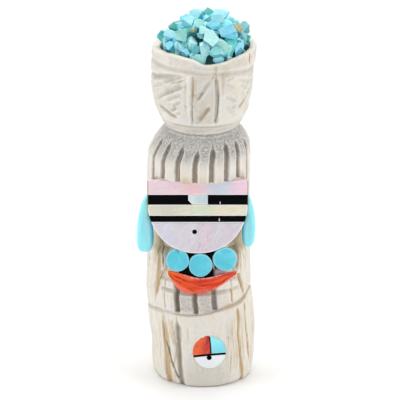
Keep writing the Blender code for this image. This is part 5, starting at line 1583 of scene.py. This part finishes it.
def within_jar(points, limit):
    """Keeps a chip that reaches below the rim clear of the wall: moved in a little, then ground to fit."""
    if min(p.z for p in points) > RIM_CLEAR:
        return points
    centre = sum(points, Vector()) / len(points)
    inward = Vector((CUP_MIDDLE - centre.x, -centre.y, 0.0)).normalized()
    over = max(math.hypot(p.x - CUP_MIDDLE, p.y) for p in points) - limit
    kept = []
    for p in [p + inward * min(max(over, 0.0), CHIP_SHIFT) for p in points]:
        share = min(limit / max(math.hypot(p.x - CUP_MIDDLE, p.y), 0.01), 1.0)
        kept.append(Vector((CUP_MIDDLE + (p.x - CUP_MIDDLE) * share, p.y * share, p.z)))
    return kept


def any_turn(rng, most):
    return Matrix.Rotation(rng.uniform(-most, most), 3, Vector(rng.normal(size=3)).normalized())


def chip_core():
    """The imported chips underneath, as one rough body that closes the gaps between the others."""
    turns = [2.0 * math.pi * k / CORE_SIDES for k in range(CORE_SIDES)]
    rings = [[(CUP_MIDDLE + CORE_FLOOR * math.cos(t), CORE_FLOOR * math.sin(t), CUP_FLOOR + 0.1)
              for t in turns]]
    for share in (1.0, 0.97, 0.88, 0.75, 0.6, 0.45, 0.3, 0.15, 0.04):
        ring = []
        for t in turns:
            away = (CUP_RADIUS - 0.2) * share
            x, y = CUP_MIDDLE + away * math.cos(t), away * math.sin(t)
            rough = 0.7 * float(lumps(np.array([x, y, 0.0]), 1.3, 61))
            ring.append((x, y, heap_top(x, y) - 2.7 + rough))
        rings.append(ring)
    points, faces = skin(rings)
    return points, facing_out(points, faces)


def make_chips(settings):
    rng = np.random.default_rng(settings.seed)
    radius = 0.5 * settings.size / MM
    places, sizes = chip_places(rng, settings.count, radius)
    points, faces = [], []
    masks, face_masks = {key: [] for key in CHIP_MASKS}, {key: [] for key in CHIP_FACE_MASKS}
    upright = Matrix.Rotation(math.radians(25.0), 3, "X")
    for i, (place, size) in enumerate(zip(places, sizes)):
        if i < len(SHOWN):
            _, _, _, wide, tall, green, chalk, brown, dark = SHOWN[i]
            half = (wide * 1.05, 0.8 * min(wide, tall), tall * 1.08)
            turn = any_turn(rng, 0.5) @ upright.inverted()
        else:
            half = (size * rng.uniform(1.1, 1.5), size * rng.uniform(0.6, 1.0), size * rng.uniform(0.8, 1.2))
            turn = any_turn(rng, math.pi)
            green = float(np.clip(rng.normal(0.42, 0.36), 0.0, 1.0))
            chalk = float(rng.random() < 0.3) * rng.uniform(0.3, 0.9)
            brown, dark = 0.0, float(rng.random() < 0.3) * 0.35
        cut, sides, rim, facet = shard(rng, half, turn)
        start = len(points)
        points += within_jar([p + Vector(place) for p in cut], CUP_RADIUS - rng.uniform(0.12, 0.45))
        faces += [tuple(start + v for v in side) for side in sides]
        for key, value in zip(masks, (green, chalk, brown)):
            masks[key] += [value] * len(cut)
        # Painted shade on chips that lie deep under the heap's surface, or the chip's listed or drawn
        # darkness where that is more.
        sunk = 1.5 if i < len(SHOWN) else 0.8
        for x, y, z in points[start:]:
            masks["deep"].append(max(dark, 0.95 * float(blend(sunk, sunk + 1.5, heap_top(x, y) - z))))
        face_masks["facet"] += facet
        face_masks["rim"] += rim
    start = len(points)
    core, sides = chip_core()
    points += [Vector(p) for p in core]
    faces += [tuple(start + v for v in side) for side in sides]
    # The core underneath is painted dark all over, as shade between the chips.
    for key in masks:
        masks[key] += [1.0 if key == "deep" else 0.4] * len(core)
    for key in face_masks:
        face_masks[key] += [0.0] * len(sides)
    piece("jar_of_chips", points, faces, chip_finish(settings), "turquoise_chips", "chip_turquoise", 22,
          masks, face_masks)


# ================================================================ the stage
def soft_box(name, azimuth, elevation, distance, size, power, target):
    """An area light round the target, azimuth and elevation in degrees."""
    a, e = math.radians(azimuth), math.radians(elevation)
    light = bpy.data.lights.new(name, "AREA")
    light.shape, light.size, light.energy = "SQUARE", size, power
    made = bpy.data.objects.new(name, light)
    away = Vector((math.sin(a) * math.cos(e), -math.cos(a) * math.cos(e), math.sin(e)))
    aim(made, target + away * distance, target)


def aim(made, place, target):
    """Puts a light or the camera at a place, turned to the target."""
    made.location = place
    made.rotation_euler = (target - made.location).to_track_quat("-Z", "Y").to_euler()
    bpy.context.scene.collection.objects.link(made)


def set_stage(settings):
    scene = bpy.context.scene
    bm = bmesh.new()
    bmesh.ops.create_grid(bm, x_segments=12, y_segments=12, size=3.0)
    mesh = bpy.data.meshes.new("studio_floor")
    bm.to_mesh(mesh)
    bm.free()
    floor = bpy.data.objects.new("studio_floor", mesh)
    mesh.materials.append(floor_finish(settings))
    scene.collection.objects.link(floor)
    target = Vector((0.0, 0.0, 0.0482))
    for side, *box in (
            ("left", -72.0, 22.0, 0.7, 0.45, settings.boxes),
            ("right", 72.0, 22.0, 0.7, 0.45, settings.boxes),
            ("top", 180.0, 82.0, 0.8, 0.8, settings.top),
            ("front", 0.0, 9.0, 0.7, 0.5, settings.front)):
        soft_box(f"soft_box_{side}", *box, target)
    world = bpy.data.worlds.new("studio")
    scene.world = world
    world.use_nodes = True
    sky = world.node_tree.nodes["Background"]
    sky.inputs["Color"].default_value = (1.0, 1.0, 1.0, 1.0)
    sky.inputs["Strength"].default_value = settings.daylight
    lens = bpy.data.cameras.new("camera")
    camera = bpy.data.objects.new("camera", lens)
    lens.sensor_width = 36.0
    lens.lens = settings.lens
    lens.clip_start, lens.clip_end = 0.05, 20.0
    e = settings.elevation
    aim(camera, target + Vector((0.0, -math.cos(e), math.sin(e))) * settings.distance, target)
    scene.camera = camera
    scene.view_settings.view_transform = "Standard"


# ================================================================ operators
class MAIDEN_OT_antler(bpy.types.Operator):
    """Carve the antler: jar, hair, shawl, belt and skirt"""
    bl_idname = "maiden.antler"
    bl_label = "Carve antler"

    def execute(self, context):
        make_antler(context.scene.maiden_antler)
        return {"FINISHED"}


class MAIDEN_OT_inlays(bpy.types.Operator):
    """Set the face, earrings, necklace, crescent and sun"""
    bl_idname = "maiden.inlays"
    bl_label = "Set inlays"

    def execute(self, context):
        settings = context.scene.maiden_inlay
        shells = {key: nacre_finish(row[0], getattr(settings, key), *row[1:]) for key, row in SHELLS.items()}
        jet, bed = jet_finish("polished jet", settings), jet_finish("jet and glue", settings, True)
        sky, coral = turquoise_finish("sky turquoise", settings.sky, 0.35), coral_finish(settings)
        make_face(settings, jet, shells)
        for side in EARRINGS:
            make_earring(side, sky)
        make_necklace(turquoise_finish("blue turquoise", settings.turquoise, 1.3), bed)
        make_crescent(coral)
        make_sun(sky, coral, jet, shells["white"])
        return {"FINISHED"}


class MAIDEN_OT_chips(bpy.types.Operator):
    """Fill the jar with turquoise chips"""
    bl_idname = "maiden.chips"
    bl_label = "Fill jar"

    def execute(self, context):
        make_chips(context.scene.maiden_chips)
        return {"FINISHED"}


class MAIDEN_OT_stage(bpy.types.Operator):
    """Lay the floor and set the lights and camera"""
    bl_idname = "maiden.stage"
    bl_label = "Set stage"

    def execute(self, context):
        set_stage(context.scene.maiden_stage)
        return {"FINISHED"}


class MAIDEN_PT_panel(bpy.types.Panel):
    """Lists what builds the maiden and what a user may change"""
    bl_idname = "MAIDEN_PT_panel"
    bl_label = "Antler maiden"
    bl_space_type = "VIEW_3D"
    bl_region_type = "UI"
    bl_category = "Maiden"

    def draw(self, context):
        for operator, group in SECTIONS:
            box = self.layout.box()
            box.operator(operator.bl_idname)
            settings = getattr(context.scene, group)
            for name in settings.__annotations__:
                box.prop(settings, name)


SECTIONS = (
    (MAIDEN_OT_antler, "maiden_antler"),
    (MAIDEN_OT_inlays, "maiden_inlay"),
    (MAIDEN_OT_chips, "maiden_chips"),
    (MAIDEN_OT_stage, "maiden_stage"),
)
GROUPS = {
    "maiden_antler": AntlerSettings,
    "maiden_inlay": InlaySettings,
    "maiden_chips": ChipSettings,
    "maiden_stage": StageSettings,
}
CLASSES = tuple(GROUPS.values()) + tuple(row[0] for row in SECTIONS) + (MAIDEN_PT_panel,)


def register():
    for made in CLASSES:
        bpy.utils.register_class(made)
    for name, group in GROUPS.items():
        setattr(bpy.types.Scene, name, PointerProperty(type=group))


def unregister():
    for name in GROUPS:
        delattr(bpy.types.Scene, name)
    for made in reversed(CLASSES):
        bpy.utils.unregister_class(made)


def main():
    register()
    bpy.ops.maiden.antler()
    bpy.ops.maiden.inlays()
    bpy.ops.maiden.chips()
    bpy.ops.maiden.stage()


if __name__ == "__main__":
    main()
